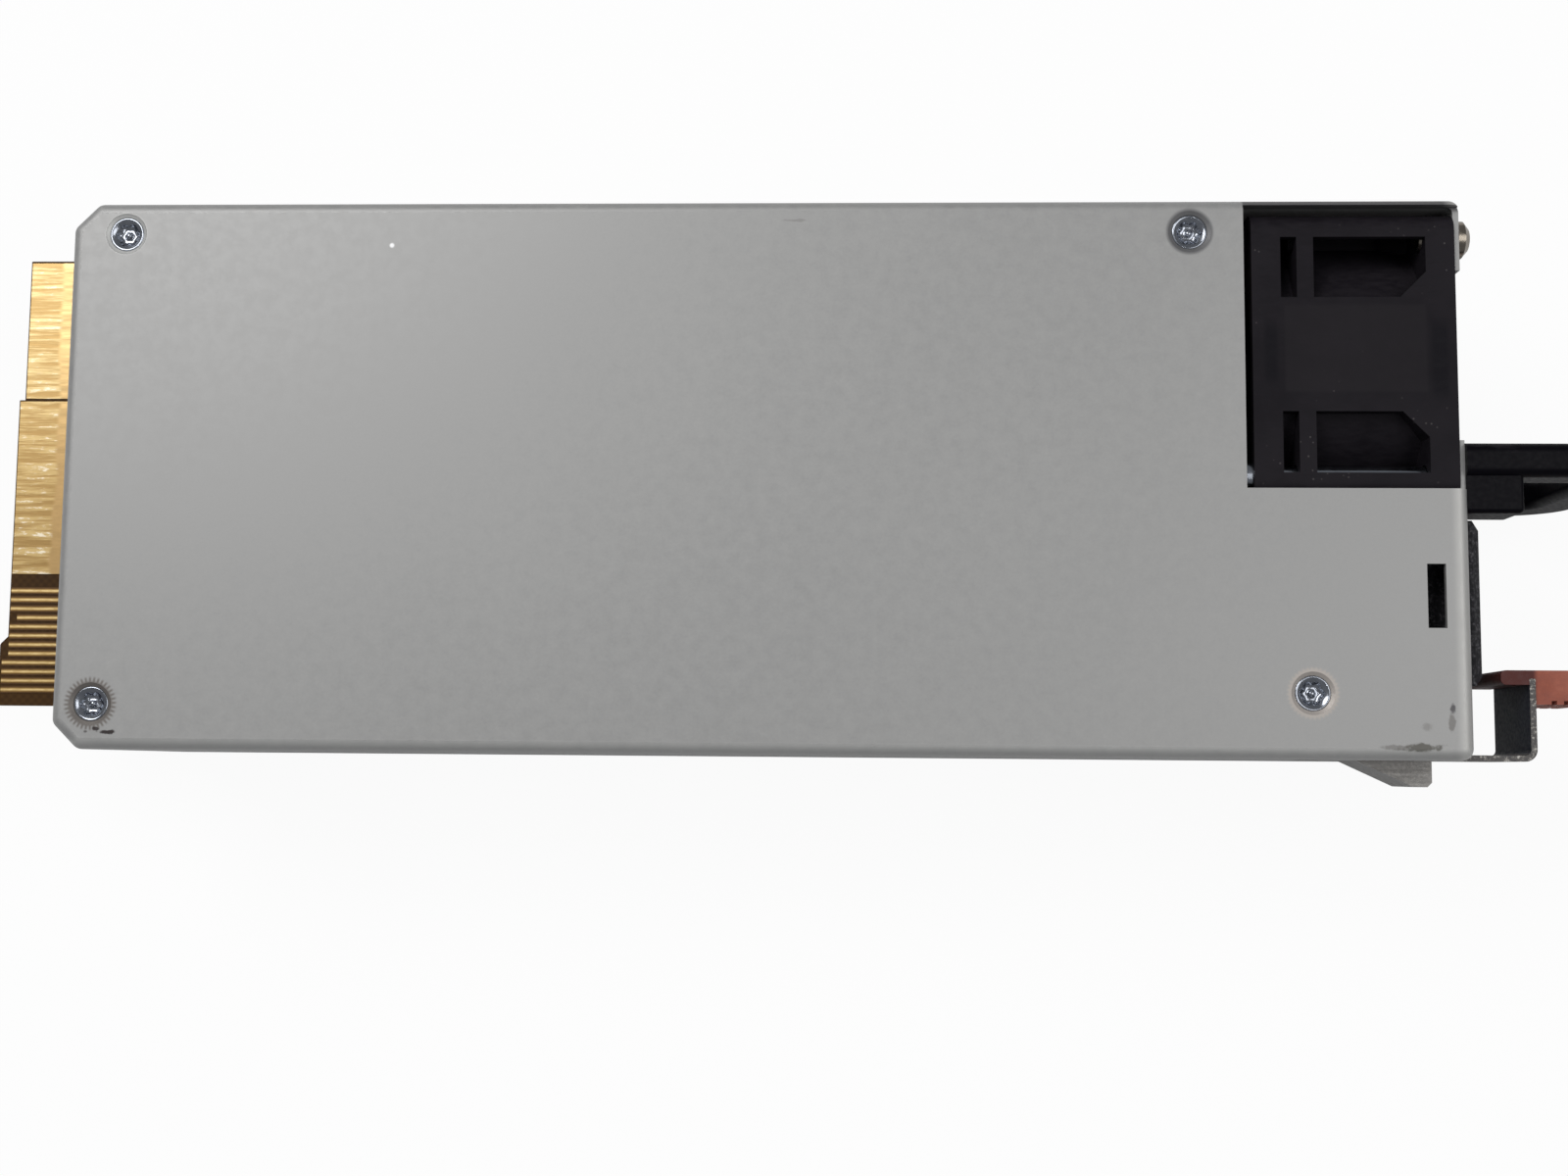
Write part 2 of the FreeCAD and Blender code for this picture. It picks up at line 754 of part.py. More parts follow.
def fan_pockets():
    """The corner pockets between the end flanges, open to the four sides and floored by the round duct."""
    upright = pocket_posts("fan_pockets_z", "XY_Plane", "fan_y", "fan_z", 1)
    lying = pocket_posts("fan_pockets_y", "XZ_Plane", "fan_z", "fan_y", -1)
    duct = rod("fan_duct", "x", "fan_bore_radius + fan_wall", (FAN_FRONT, REAR), ("fan_y", "fan_z"))
    return cut("fan_pockets", fuse("fan_pocket_posts", [upright, lying]), duct)


def pocket_posts(label, plane, centre, depth_centre, facing):
    """Posts right through the fan's side, one for each corner and each side of the rib."""
    front = f"{FAN_FRONT} + fan_flange"
    rib = f"{FAN_FRONT} + fan_rib_start"
    rear = f"{FAN_FRONT} + fan_depth - fan_flange"
    outlines = []
    for side in (-1, 1):
        near = f"{centre} + {side} * fan_pocket_near"
        web = f"{centre} + {side} * (fan_pocket_near + fan_pocket_web)"
        far = f"{centre} + {side} * fan_pocket_far"
        outlines.append(rectangle((front, rib), (near, far) if side == 1 else (far, near)))
        wide = [
            (f"{rib} + fan_rib_width", near),
            (f"{rear} - fan_pocket_web", near),
            (rear, web),
            (rear, far),
            (f"{rib} + fan_rib_width", far),
        ]
        outlines.append(wide if side == 1 else wide[::-1])
    body = new_body(label)
    start = f"{facing} * ({depth_centre}) - fan_side / 2 - 1"
    feature(body, "Pad", draw(body, plane, start, *outlines), "fan_side + 2")
    return body


def fan_motor_seat():
    plate_front = f"{REAR_IN} - motor_plate"
    centre = ("fan_y", "fan_z")
    plate = rod("motor_plate_disc", "x", "hub_radius", (plate_front, REAR_IN), centre)
    tube = rod("bearing_tube", "x", TUBE_RADIUS, (TUBE_FRONT, REAR_IN), centre)
    bore = rod("bearing_tube_bore", "x", "bearing_radius", (TUBE_FRONT, f"{REAR_IN} - 0.8"), centre)
    struts = []
    for step in range(4):
        strut = named("Part::Box", f"motor_strut_{step + 1}")
        bind(strut, "Length", "strut_depth")
        bind(strut, "Width", "strut_width")
        bind(strut, "Height", "fan_bore_radius + fan_wall / 2 - hub_radius / 2")
        turn = Rotation(Vector(1, 0, 0), 45 + 90 * step)
        strut.Placement = Placement(Vector(), turn)
        out = turn.multVec(Vector(0, 0, 1))
        side = turn.multVec(Vector(0, 1, 0))
        bind(strut, "Placement.Base.x", f"{REAR_IN} - strut_depth")
        bind(strut, "Placement.Base.y", f"fan_y + {out.y:.6f} * hub_radius / 2 - {side.y:.6f} * strut_width / 2")
        bind(strut, "Placement.Base.z", f"fan_z + {out.z:.6f} * hub_radius / 2 - {side.z:.6f} * strut_width / 2")
        struts.append(strut)
    solid = fuse("motor_seat_blank", [plate, tube] + struts)
    return [cut("motor_seat", solid, bore)]


def blade_section(body, height, chord, angle):
    """A cambered section on a plane across the blade: two arcs that meet at the leading and trailing edges."""
    plane = next(f for f in body.Origin.OriginFeatures if f.Role == "XY_Plane")
    sketch = body.newObject("Sketcher::SketchObject", "blade_section")
    sketch.AttachmentSupport = (plane, [""])
    sketch.MapMode = "FlatFace"
    sketch.AttachmentOffset = Placement(Vector(), Rotation(Vector(0, 0, 1), number(angle)))
    bind(sketch, "AttachmentOffset.Base.x", f"({HUB_FRONT} + {HUB_REAR}) / 2")
    bind(sketch, "AttachmentOffset.Base.z", height)
    bind(sketch, "AttachmentOffset.Rotation.Angle", angle)
    half = number(chord) / 2
    for rise in ("blade_camber + blade_gauge", "blade_camber"):
        arc = Part.Arc(Vector(-half, 0, 0), Vector(0, number(rise), 0), Vector(half, 0, 0))
        index = sketch.addGeometry(arc, False)
        radius = f"(({chord}) ^ 2 / 4 + ({rise}) ^ 2) / (2 * ({rise}))"
        limit = sketch.addConstraint(Sketcher.Constraint("Radius", index, number(radius)))
        bind(sketch, f"Constraints[{limit}]", radius)
    sketch.addConstraint(Sketcher.Constraint("Coincident", 0, 1, 1, 1))
    sketch.addConstraint(Sketcher.Constraint("Coincident", 0, 2, 1, 2))
    ends = {round(sketch.getPoint(0, point).x, 3): point for point in (1, 2)}
    pin_point(sketch, 0, ends[round(-half, 3)], f"-({chord}) / 2", "0")
    pin_point(sketch, 0, ends[round(half, 3)], f"({chord}) / 2", "0")
    return sketch


def make_fan_rotor():
    """A deep hub cup with seven twisted blades, lofted from root to tip and trimmed to the running circle."""
    cup = turned(
        "rotor_cup",
        "x",
        [
            (HUB_FRONT, "0"),
            (HUB_FRONT, "hub_radius - 1.4"),
            (f"{HUB_FRONT} + 1.4", "hub_radius"),
            (HUB_REAR, "hub_radius"),
            (HUB_REAR, "hub_radius - hub_wall"),
            (f"{HUB_FRONT} + 1.8", "hub_radius - hub_wall"),
            (f"{HUB_FRONT} + 1.8", "shaft_radius + 1"),
            (f"{HUB_FRONT} + 4.2", "shaft_radius + 1"),
            (f"{HUB_FRONT} + 4.2", "shaft_radius"),
            (f"{HUB_FRONT} + 1", "shaft_radius"),
            (f"{HUB_FRONT} + 1", "0"),
        ],
    )
    root = blade_section(cup, "hub_radius - hub_wall + 0.1", "blade_root_chord", "blade_root_angle")
    tip = blade_section(cup, "fan_bore_radius - fan_tip_gap + 0.3", "blade_tip_chord", "blade_tip_angle")
    blade = cup.newObject("PartDesign::AdditiveLoft", "rotor_blade")
    blade.Profile = root
    blade.Sections = [(tip, [""])]
    doc.recompute()
    blades = cup.newObject("PartDesign::PolarPattern", "rotor_blades")
    blades.Originals = [blade]
    axis = next(f for f in cup.Origin.OriginFeatures if f.Role == "X_Axis")
    blades.Axis = (axis, [""])
    blades.Angle = 360
    blades.Occurrences = 7
    cup.Tip = blades
    place(cup, "0", "fan_y", "fan_z")
    circle = rod("rotor_circle", "x", "fan_bore_radius - fan_tip_gap", (FAN_FRONT, REAR_IN), ("fan_y", "fan_z"))
    rotor = named("Part::Common", "fan_rotor")
    rotor.Base = cup
    rotor.Tool = circle
    return rotor


def make_fan_motor():
    """Shaft, bearings, magnet ring and wound stator, all round the fan's axis."""
    centre = ("fan_y", "fan_z")
    shaft = rod("fan_shaft", "x", "shaft_radius", (f"{HUB_FRONT} + 1", f"{REAR_IN} - 1.2"), centre)
    magnet_outer = "(hub_radius - hub_wall)"
    ring = turned(
        "magnet_ring",
        "x",
        rectangle((f"{HUB_REAR} - magnet_length", HUB_REAR), (f"{magnet_outer} - magnet_gauge", magnet_outer)),
    )
    ring.Label = "fan_magnet"
    place(ring, "0", "fan_y", "fan_z")
    bearing = turned(
        "fan_bearing",
        "x",
        rectangle(("0", "bearing_length"), ("shaft_radius + bearing_play", "bearing_radius")),
    )
    spots = [(TUBE_FRONT, "fan_y", "fan_z"), (f"{REAR_IN} - 1.6 - bearing_length", "fan_y", "fan_z")]
    bearings = copies("fan_bearings", bearing, spots)
    return [shaft, ring, bearings, make_stator()]


def make_stator():
    """A four-pole laminated core on the bearing tube."""
    front = f"{HUB_REAR} - 1 - stator_length"
    centre = ("fan_y", "fan_z")
    rear = f"{HUB_REAR} - 1"
    drum = rod("stator_drum", "x", "stator_radius", (front, rear), centre)
    bore = rod("stator_bore", "x", TUBE_RADIUS, (front, rear), centre)
    slots = []
    for step in range(4):
        slot = named("Part::Cylinder", f"stator_slot_{step + 1}")
        bind(slot, "Radius", "stator_radius / 4.4")
        bind(slot, "Height", "stator_length")
        slot.Placement = Placement(Vector(), TURNS["x"])
        turn = math.radians(45 + 90 * step)
        bind(slot, "Placement.Base.x", front)
        bind(slot, "Placement.Base.y", f"fan_y + {math.cos(turn):.6f} * stator_radius * 0.86")
        bind(slot, "Placement.Base.z", f"fan_z + {math.sin(turn):.6f} * stator_radius * 0.86")
        slots.append(slot)
    return cut("fan_stator", drum, group("stator_cuts", [bore] + slots))


def make_fan_screws():
    """Two pan head screws through the side tabs of the rear wall into the fan's outer corners."""
    screw = turned(
        "fan_screw",
        "x",
        [
            ("-fan_flange - 1", "0"),
            ("-fan_flange - 1", "fan_hole_radius - 0.6"),
            ("-fan_flange - 0.4", "fan_hole_radius - 0.05"),
            ("0", "fan_hole_radius - 0.05"),
            ("0", "fan_screw_head"),
            ("fan_screw_head_height * 0.55", "fan_screw_head"),
            ("fan_screw_head_height", "fan_screw_head - 0.9"),
            ("fan_screw_head_height", "0"),
        ],
    )
    socket = hexagon("fan_screw_socket", "x", "socket_radius", ("fan_screw_head_height - 1", "fan_screw_head_height"), ("0", "0"))
    head = cut("fan_screw_cut", screw, socket)
    corners = [(REAR, "fan_y + fan_hole_pitch / 2", f"fan_z + {level} * fan_hole_pitch / 2") for level in (-1, 1)]
    return copies("fan_screws", head, corners)


# ---------------------------------------------------------------- handle and inlet


def handle_outline():
    """The U-shaped loop in the XZ plane, open towards the rear panel."""
    end = f"{REAR} + handle_reach"
    inner_low, inner_high = "handle_low + handle_bar", "handle_high - handle_bar"
    inner_end = f"{end} - handle_bar"
    return [
        (REAR, "handle_low"),
        (end, "handle_low"),
        (end, "handle_high"),
        (REAR, "handle_high"),
        (REAR, inner_high),
        (inner_end, inner_high),
        (inner_end, inner_low),
        (REAR, inner_low),
    ]


def make_handle():
    """A flat loop with rounded edges, and a screw boss beside each of its two roots."""
    loop = new_body("handle_loop")
    sides = ("handle_y - handle_width / 2", "handle_y + handle_width / 2")
    feature(loop, "Pad", draw(loop, "XZ_Plane", f"-({sides[1]})", handle_outline()), "handle_width")
    end = number(REAR) + number("handle_reach")
    inner_end = end - number("handle_bar")
    root = number(REAR)

    def upright_at(edge, x):
        return runs(edge, "y") and abs(edge.BoundBox.XMin - x) < 1e-4

    def beyond_root(edge):
        return edge.BoundBox.XMax > root + 1e-4 and edge.BoundBox.YLength < 1e-4

    soften(loop, "Fillet", "handle_corner", lambda edge: upright_at(edge, end))
    soften(loop, "Fillet", "handle_inner_corner", lambda edge: upright_at(edge, inner_end))
    soften(loop, "Fillet", "handle_round", beyond_root)
    bosses = [handle_boss("handle_boss_low", "handle_low"), handle_boss("handle_boss_high", "handle_high", -1)]
    holes = []
    for level in (-1, 1):
        span = (REAR, f"{REAR} + handle_screw_grip + 1")
        centre = ("fan_y - fan_hole_pitch / 2", f"fan_z + {level} * fan_hole_pitch / 2")
        holes.append(rod(f"handle_hole_{len(holes) + 1}", "x", "board_screw_radius", span, centre))
    return cut("handle", fuse("handle_blank", [loop] + bosses), group("handle_holes", holes))


def handle_boss(label, level, side=1):
    """The block round a handle screw, from the loop's outer level inwards."""
    body = new_body(label)
    heights = [f"{level} + {side} * handle_round / 2", f"{level} + {side} * (handle_round / 2 + handle_boss_height)"]
    far = "handle_y + handle_width / 2 - handle_round"
    outline = rectangle((f"{far} - handle_boss_width + handle_round", far), heights[::side])
    feature(body, "Pad", draw(body, "YZ_Plane", REAR, outline), "handle_boss_length")
    end = number(REAR) + number("handle_boss_length")
    near = number(f"{far} - handle_boss_width + handle_round")

    def outer(edge):
        box = edge.BoundBox
        return abs(box.XMin - end) < 1e-4 or (runs(edge, "x") and abs(box.YMin - near) < 1e-4)

    soften(body, "Fillet", "handle_round / 2", outer)
    return body


def make_handle_screws():
    """Long screws through the fan's inner corners and the rear wall into the handle's roots."""
    screw = turned(
        "handle_screw",
        "x",
        [
            (f"{FAN_FRONT} - 1.8", "0"),
            (f"{FAN_FRONT} - 1.8", "fan_screw_head - 0.6"),
            (f"{FAN_FRONT} - 1", "fan_screw_head"),
            (FAN_FRONT, "fan_screw_head"),
            (FAN_FRONT, "board_screw_radius"),
            (f"{REAR} + handle_screw_grip - 0.6", "board_screw_radius"),
            (f"{REAR} + handle_screw_grip", "board_screw_radius - 0.6"),
            (f"{REAR} + handle_screw_grip", "0"),
        ],
    )
    spots = [("0", "fan_y - fan_hole_pitch / 2", f"fan_z + {level} * fan_hole_pitch / 2") for level in (-1, 1)]
    return copies("handle_screws", screw, spots)


def make_inlet_body():
    """The moulded appliance inlet: bevelled flange on the rear panel, and a shrouded cavity behind it."""
    body = new_body("inlet_body")
    flange = rectangle(
        ("inlet_y - inlet_flange_width / 2", "inlet_y + inlet_flange_width / 2"),
        ("inlet_z - inlet_flange_height / 2", "inlet_z + inlet_flange_height / 2"),
    )
    shroud = rectangle(
        ("inlet_y - inlet_body_width / 2", "inlet_y + inlet_body_width / 2"),
        ("inlet_z - inlet_body_height / 2", "inlet_z + inlet_body_height / 2"),
    )
    feature(body, "Pad", draw(body, "YZ_Plane", REAR, flange), "inlet_flange_proud")
    face = number(REAR) + number("inlet_flange_proud")
    soften(body, "Chamfer", "inlet_flange_bevel", lambda edge: abs(edge.BoundBox.XMin - face) < 1e-6)
    feature(body, "Pad", draw(body, "YZ_Plane", f"{REAR} - inlet_body_depth", shroud), "inlet_body_depth")
    half_w, half_h, bevel = "inlet_cavity_width / 2", "inlet_cavity_height / 2", "inlet_cavity_bevel"
    cavity = [
        (f"inlet_y - {half_w}", f"inlet_z - {half_h}"),
        (f"inlet_y + {half_w} - {bevel}", f"inlet_z - {half_h}"),
        (f"inlet_y + {half_w}", f"inlet_z - {half_h} + {bevel}"),
        (f"inlet_y + {half_w}", f"inlet_z + {half_h} - {bevel}"),
        (f"inlet_y + {half_w} - {bevel}", f"inlet_z + {half_h}"),
        (f"inlet_y - {half_w}", f"inlet_z + {half_h}"),
    ]
    feature(body, "Pocket", draw(body, "YZ_Plane", f"{REAR} + inlet_flange_proud", cavity), "inlet_cavity_depth")
    slots = [pin_outline(z, offset) for z, offset in inlet_pin_places()]
    feature(body, "Pocket", draw(body, "YZ_Plane", REAR, *slots), "inlet_body_depth")
    return body


def inlet_pin_places():
    """Line and neutral on one side of the middle, earth on the bevelled side."""
    return [
        ("inlet_z - pin_spread", "-pin_offset"),
        ("inlet_z", "pin_offset"),
        ("inlet_z + pin_spread", "-pin_offset"),
    ]


def pin_outline(z, offset):
    y = f"inlet_y + ({offset})"
    return rectangle(
        (f"{y} - pin_width / 2", f"{y} + pin_width / 2"),
        (f"{z} - pin_gauge / 2", f"{z} + pin_gauge / 2"),
    )


def make_inlet_pins():
    pins = []
    tip = f"{REAR} + inlet_flange_proud - pin_setback"
    for z, offset in inlet_pin_places():
        body = new_body(f"inlet_pin_{len(pins) + 1}")
        start = f"{REAR} - inlet_body_depth - pin_tail"
        sketch = draw(body, "YZ_Plane", start, pin_outline(z, offset))
        feature(body, "Pad", sketch, f"({tip}) - ({start})")
        end = number(tip)
        soften(body, "Chamfer", "pin_gauge / 4", lambda edge: abs(edge.BoundBox.XMin - end) < 1e-6)
        pins.append(body)
    return group("inlet_pins", pins)


def make_status_light():
    """A small indicator lamp: domed lens, collar on the rear panel and body behind it."""
    lamp = turned(
        "status_light",
        "x",
        [
            ("-7", "0"),
            ("-7", "lamp_radius"),
            ("0", "lamp_radius"),
            ("0", "lamp_radius + 0.6"),
            ("0.6", "lamp_radius + 0.5"),
            ("0.8", "lamp_radius - 0.3"),
            ("1.3", "lamp_radius - 0.8"),
            ("1.5", "0"),
        ],
    )
    return place(lamp, REAR, "lamp_y", "lamp_z")


# ---------------------------------------------------------------- release latch

LATCH_IN = f"(latch_gap - {SIDE_IN})"


def make_latch_spring():
    """One strip of spring steel: flat along the wall, joggled out into its notch, bent in behind the panel."""
    body = new_body("latch_strip")
    tail = f"{REAR} + latch_reach"
    joggle_end = "latch_joggle_x + latch_joggle_length"
    strip = [
        ("latch_hinge_x - latch_root", LATCH_IN),
        ("latch_joggle_x", LATCH_IN),
        (joggle_end, f"-{SIDE}"),
        (tail, f"-{SIDE}"),
        (tail, f"latch_tab - {SIDE}"),
        (f"{tail} - latch_gauge", f"latch_tab - {SIDE}"),
        (f"{tail} - latch_gauge", f"latch_gauge - {SIDE}"),
        (f"{joggle_end} + 0.15", f"latch_gauge - {SIDE}"),
        ("latch_joggle_x + 0.15", f"{LATCH_IN} + latch_gauge"),
        ("latch_hinge_x - latch_root", f"{LATCH_IN} + latch_gauge"),
    ]
    feature(body, "Pad", draw(body, "XY_Plane", "latch_low", strip), "latch_high - latch_low")
    end_x, wall_y, gauge = number(tail), -number(SIDE), number("latch_gauge")

    def bend(edge, x, y):
        box = edge.BoundBox
        return runs(edge, "z") and abs(box.XMin - x) < 1e-4 and abs(box.YMin - y) < 1e-4

    soften(body, "Fillet", "latch_gauge * 2", lambda edge: bend(edge, end_x, wall_y))
    soften(body, "Fillet", "latch_gauge", lambda edge: bend(edge, end_x - gauge, wall_y + gauge))
    crest = "tooth_stop_x - 0.6"
    tooth = [
        ("tooth_stop_x - tooth_length", f"-{SIDE}"),
        ("tooth_stop_x - tooth_crest", f"-{SIDE} - tooth_proud"),
        (crest, f"-{SIDE} - tooth_proud"),
        ("tooth_stop_x", f"-{SIDE} - tooth_proud + 0.6"),
        ("tooth_stop_x", f"-{SIDE}"),
    ]
    feature(body, "Pad", draw(body, "XY_Plane", "tooth_low", tooth), "tooth_high - tooth_low")
    holes = [
        rod(f"latch_hole_{i}", "y", "rivet_radius + rivet_play / 2", (f"-{SIDE}", "0"), ("latch_hinge_x", z))
        for i, z in enumerate(rivet_levels(), start=1)
    ]
    return cut("latch_spring", body, group("latch_holes", holes))


def make_latch_rivets():
    """Flush outside, domed inside, with a little play for the strip."""
    grip = "sheet_gauge + latch_gap + latch_gauge + rivet_play"
    rivet = turned(
        "latch_rivet",
        "z",
        [
            ("0", "0"),
            ("0", "rivet_radius + 0.8"),
            ("sheet_gauge", "rivet_radius"),
            (grip, "rivet_radius"),
            (grip, "rivet_head"),
            (f"{grip} + rivet_head_height / 2", "rivet_head - 0.3"),
            (f"{grip} + rivet_head_height", "rivet_head / 2"),
            (f"{grip} + rivet_head_height", "0"),
        ],
    )
    turn = Rotation(Vector(1, 0, 0), -90)
    return copies("latch_rivets", rivet, [("latch_hinge_x", f"-{SIDE}", z, turn) for z in rivet_levels()])


def make_latch_pad():
    """The moulded thumb pad on the strip's bent end."""
    body = new_body("latch_pad")
    tail = f"{REAR} + latch_reach"
    far_y = f"latch_tab - {SIDE} + pad_lip - 0.8"
    near_y = f"{far_y} - pad_thickness"
    outline = [
        (f"{tail} - latch_gauge - pad_inner", f"{far_y} - pad_lip"),
        (f"{tail} - latch_gauge", f"{far_y} - pad_lip"),
        (f"{tail} - latch_gauge", f"latch_tab - {SIDE}"),
        (tail, f"latch_tab - {SIDE}"),
        (tail, near_y),
        (f"{tail} + pad_outer", near_y),
        (f"{tail} + pad_outer", far_y),
        (f"{tail} - latch_gauge - pad_inner", far_y),
    ]
    start = "latch_low - pad_below"
    feature(body, "Pad", draw(body, "XY_Plane", start, outline), f"latch_high - ({start})")
    end = number(tail) + number("pad_outer")
    inner = number(f"{tail} - latch_gauge - pad_inner")
    soften(body, "Fillet", "pad_round", lambda edge: runs(edge, "z") and abs(edge.BoundBox.XMin - end) < 1e-4)
    soften(body, "Fillet", "pad_round / 2", lambda edge: runs(edge, "z") and abs(edge.BoundBox.XMin - inner) < 1e-4)
    ribs = [
        rectangle((f"{tail} + 2 + {step} * 1.6", f"{tail} + 2.7 + {step} * 1.6"), (f"{near_y} - 1", f"{near_y} + 0.5"))
        for step in range(5)
    ]
    feature(body, "Pocket", draw(body, "XY_Plane", "latch_high", *ribs), "latch_high")
    return body


# ---------------------------------------------------------------- boards


def make_main_board():
    """The main board under the chassis floor, with a tongue beside the fan for the inlet's filter."""
    body = new_body("main_board")
    low_y, high_y = f"board_clearance - {SIDE}", f"{SIDE} - board_clearance"
    front = f"{FRONT} + board_clearance"
    outline = [
        (front, f"{low_y} + lead_in"),
        (f"{front} + lead_in", low_y),
        ("board_tongue", low_y),
        ("board_tongue", "board_tongue_y"),
        ("board_rear", "board_tongue_y"),
        ("board_rear", high_y),
        (f"{front} + lead_in", high_y),
        (front, f"{high_y} - lead_in"),
    ]
    holes = [(x, y, "standoff_radius - 1") for x, y in BOARD_SCREWS]
    feature(body, "Pad", draw(body, "XY_Plane", BOARD_UNDER, outline, *holes), "board_gauge")
    return body


def make_insulator():
    """A film between the main board and the chassis floor, cut round the screws' dimples."""
    body = new_body("insulator_sheet")
    edge = "(board_clearance + 1)"
    outline = rectangle((f"{FRONT} + {edge}", "board_rear - 1"), (f"{edge} - {SIDE}", f"{SIDE} - {edge}"))
    corners = []
    for x, y in BOARD_SCREWS[:3]:
        across = (FRONT, f"{x} + 5") if number(x) < 0 else (f"{x} - 5", REAR)
        corners.append(rectangle(across, (f"{y} - 5", SIDE) if number(y) > 0 else (f"-{SIDE}", f"{y} + 5")))
    film = draw(body, "XY_Plane", f"{FLOOR_IN} - insulator_gauge", outline)
    feature(body, "Pad", film, "insulator_gauge")
    feature(body, "Pocket", draw(body, "XY_Plane", FLOOR_IN, *corners), "insulator_gauge")
    return body


CARD_TIP = f"({FRONT} - card_reach)"


def make_output_board():
    """The output board, whose front edge is the card edge connector with three staggered lengths."""
    body = new_body("output_board")
    outline = [
        (f"{FRONT} + card_inside", "card_low_y"),
        (f"{FRONT} + card_inside", "card_high_y"),
        (f"{CARD_TIP} + card_first_step", "card_high_y"),
        (f"{CARD_TIP} + card_first_step", "power_pad_split"),
        (CARD_TIP, "power_pad_split"),
        (CARD_TIP, "card_last_step_y"),
        (f"{CARD_TIP} - card_last_step", "card_last_step_y - card_last_step"),
        (f"{CARD_TIP} - card_last_step", "card_low_y"),
    ]
    feature(body, "Pad", draw(body, "XY_Plane", "card_top - board_gauge", outline), "board_gauge")
    tips = [number(f"{CARD_TIP} + card_first_step"), number(CARD_TIP), number(f"{CARD_TIP} - card_last_step")]
    faces = [number("card_top"), number("card_top - board_gauge")]

    def leading(edge):
        box = edge.BoundBox
        on_tip = any(abs(box.XMin - tip) < 1e-4 for tip in tips)
        on_face = any(abs(box.ZMin - face) < 1e-4 for face in faces)
        return runs(edge, "y") and on_tip and on_face

    soften(body, "Chamfer", "card_bevel", leading)
    return body


def both_faces(label, outlines):
    """Thin copper laid on the upper and the lower face of the output board."""
    body_list = []
    for name, level in (("upper", "card_top"), ("lower", "card_top - board_gauge - copper")):
        body = new_body(f"{label}_{name}")
        feature(body, "Pad", draw(body, "XY_Plane", level, *outlines), "copper")
        body_list.append(body)
    return group(label, body_list)


def make_power_pads():
    start = "card_bevel + pad_setback"
    inside = f"{FRONT} + pad_inside"
    first = rectangle(
        (f"{CARD_TIP} + card_first_step + {start}", inside),
        ("power_pad_split + power_pad_gap / 2", "card_high_y - 0.3"),
    )
    second = rectangle((f"{CARD_TIP} + {start}", inside), ("power_pad_end", "power_pad_split - power_pad_gap / 2"))
    return both_faces("power_pads", [first, second])


def make_signal_fingers():
    fingers = []
    for step in range(12):
        y = f"finger_start - {step} * finger_pitch"
        tip = f"{CARD_TIP} + card_bevel + pad_setback"
        if step == 3:
            tip = f"{tip} + finger_short"
        if step >= 8:
            tip = f"{tip} - card_last_step * 0.8"
        fingers.append(rectangle((tip, f"{FRONT} + pad_inside"), (f"{y} - finger_width / 2", f"{y} + finger_width / 2")))
    return both_faces("signal_fingers", fingers)


def make_bus_bars():
    """Two copper bars that carry the output from the main board to the output board."""
    bars = []
    for y in ("22", "0"):
        body = new_body(f"bus_bar_{len(bars) + 1}")
        start = f"{FRONT} + card_inside - 14"
        foot = [
            (start, "card_top"),
            (f"{start} + 11", "card_top"),
            (f"{start} + 11", "card_top + 1.5"),
            (f"{start} + 1.5", "card_top + 1.5"),
            (f"{start} + 1.5", BOARD_UNDER),
            (start, BOARD_UNDER),
        ]
        feature(body, "Pad", draw(body, "XZ_Plane", f"-({y}) - 7", foot), "14")
        bars.append(body)
    return group("bus_bars", bars)


def make_signal_header():
    """The pin header that carries the signals between the two boards."""
    strip = block("header_strip", ("-76", "-73.5"), ("-29", "-13"), (f"{BOARD_UNDER} - 2.5", BOARD_UNDER))
    pins = []
    for step in range(6):
        y = f"{-27.3 + step * 2.54:.2f}"
        pins.append(rod(f"header_pin_{step + 1}", "z", "0.35", ("card_top", f"{BOARD_UNDER} - 2.5"), ("-74.75", y)))
    return fuse("signal_header", [strip] + pins)


# ---------------------------------------------------------------- power parts


def hang(label, x, y, size):
    """A moulded block hanging from the main board: middle x and y, and its length, width and height."""
    length, width, height = size
    body = new_body(label)
    outline = rectangle(
        (f"{x} - ({length}) / 2", f"{x} + ({length}) / 2"),
        (f"{y} - ({width}) / 2", f"{y} + ({width}) / 2"),
    )
    feature(body, "Pad", draw(body, "XY_Plane", f"{BOARD_UNDER} - ({height})", outline), height)
    return body


def rounded(body, size):
    """Soften the upright edges of a moulded block."""
    soften(body, "Fillet", size, lambda edge: runs(edge, "z"))
    return body


def can_profile(radius, height):
    """The outline of an electrolytic can standing on its seal, with its crimped groove."""
    return [
        ("0", "0"),
        ("0", f"{radius} - 0.5"),
        ("0.5", radius),
        ("1.6", radius),
        ("2.1", f"{radius} - 0.5"),
        ("2.7", radius),
        (f"{height} - 0.7", radius),
        (height, f"{radius} - 0.7"),
        (height, "0"),
    ]


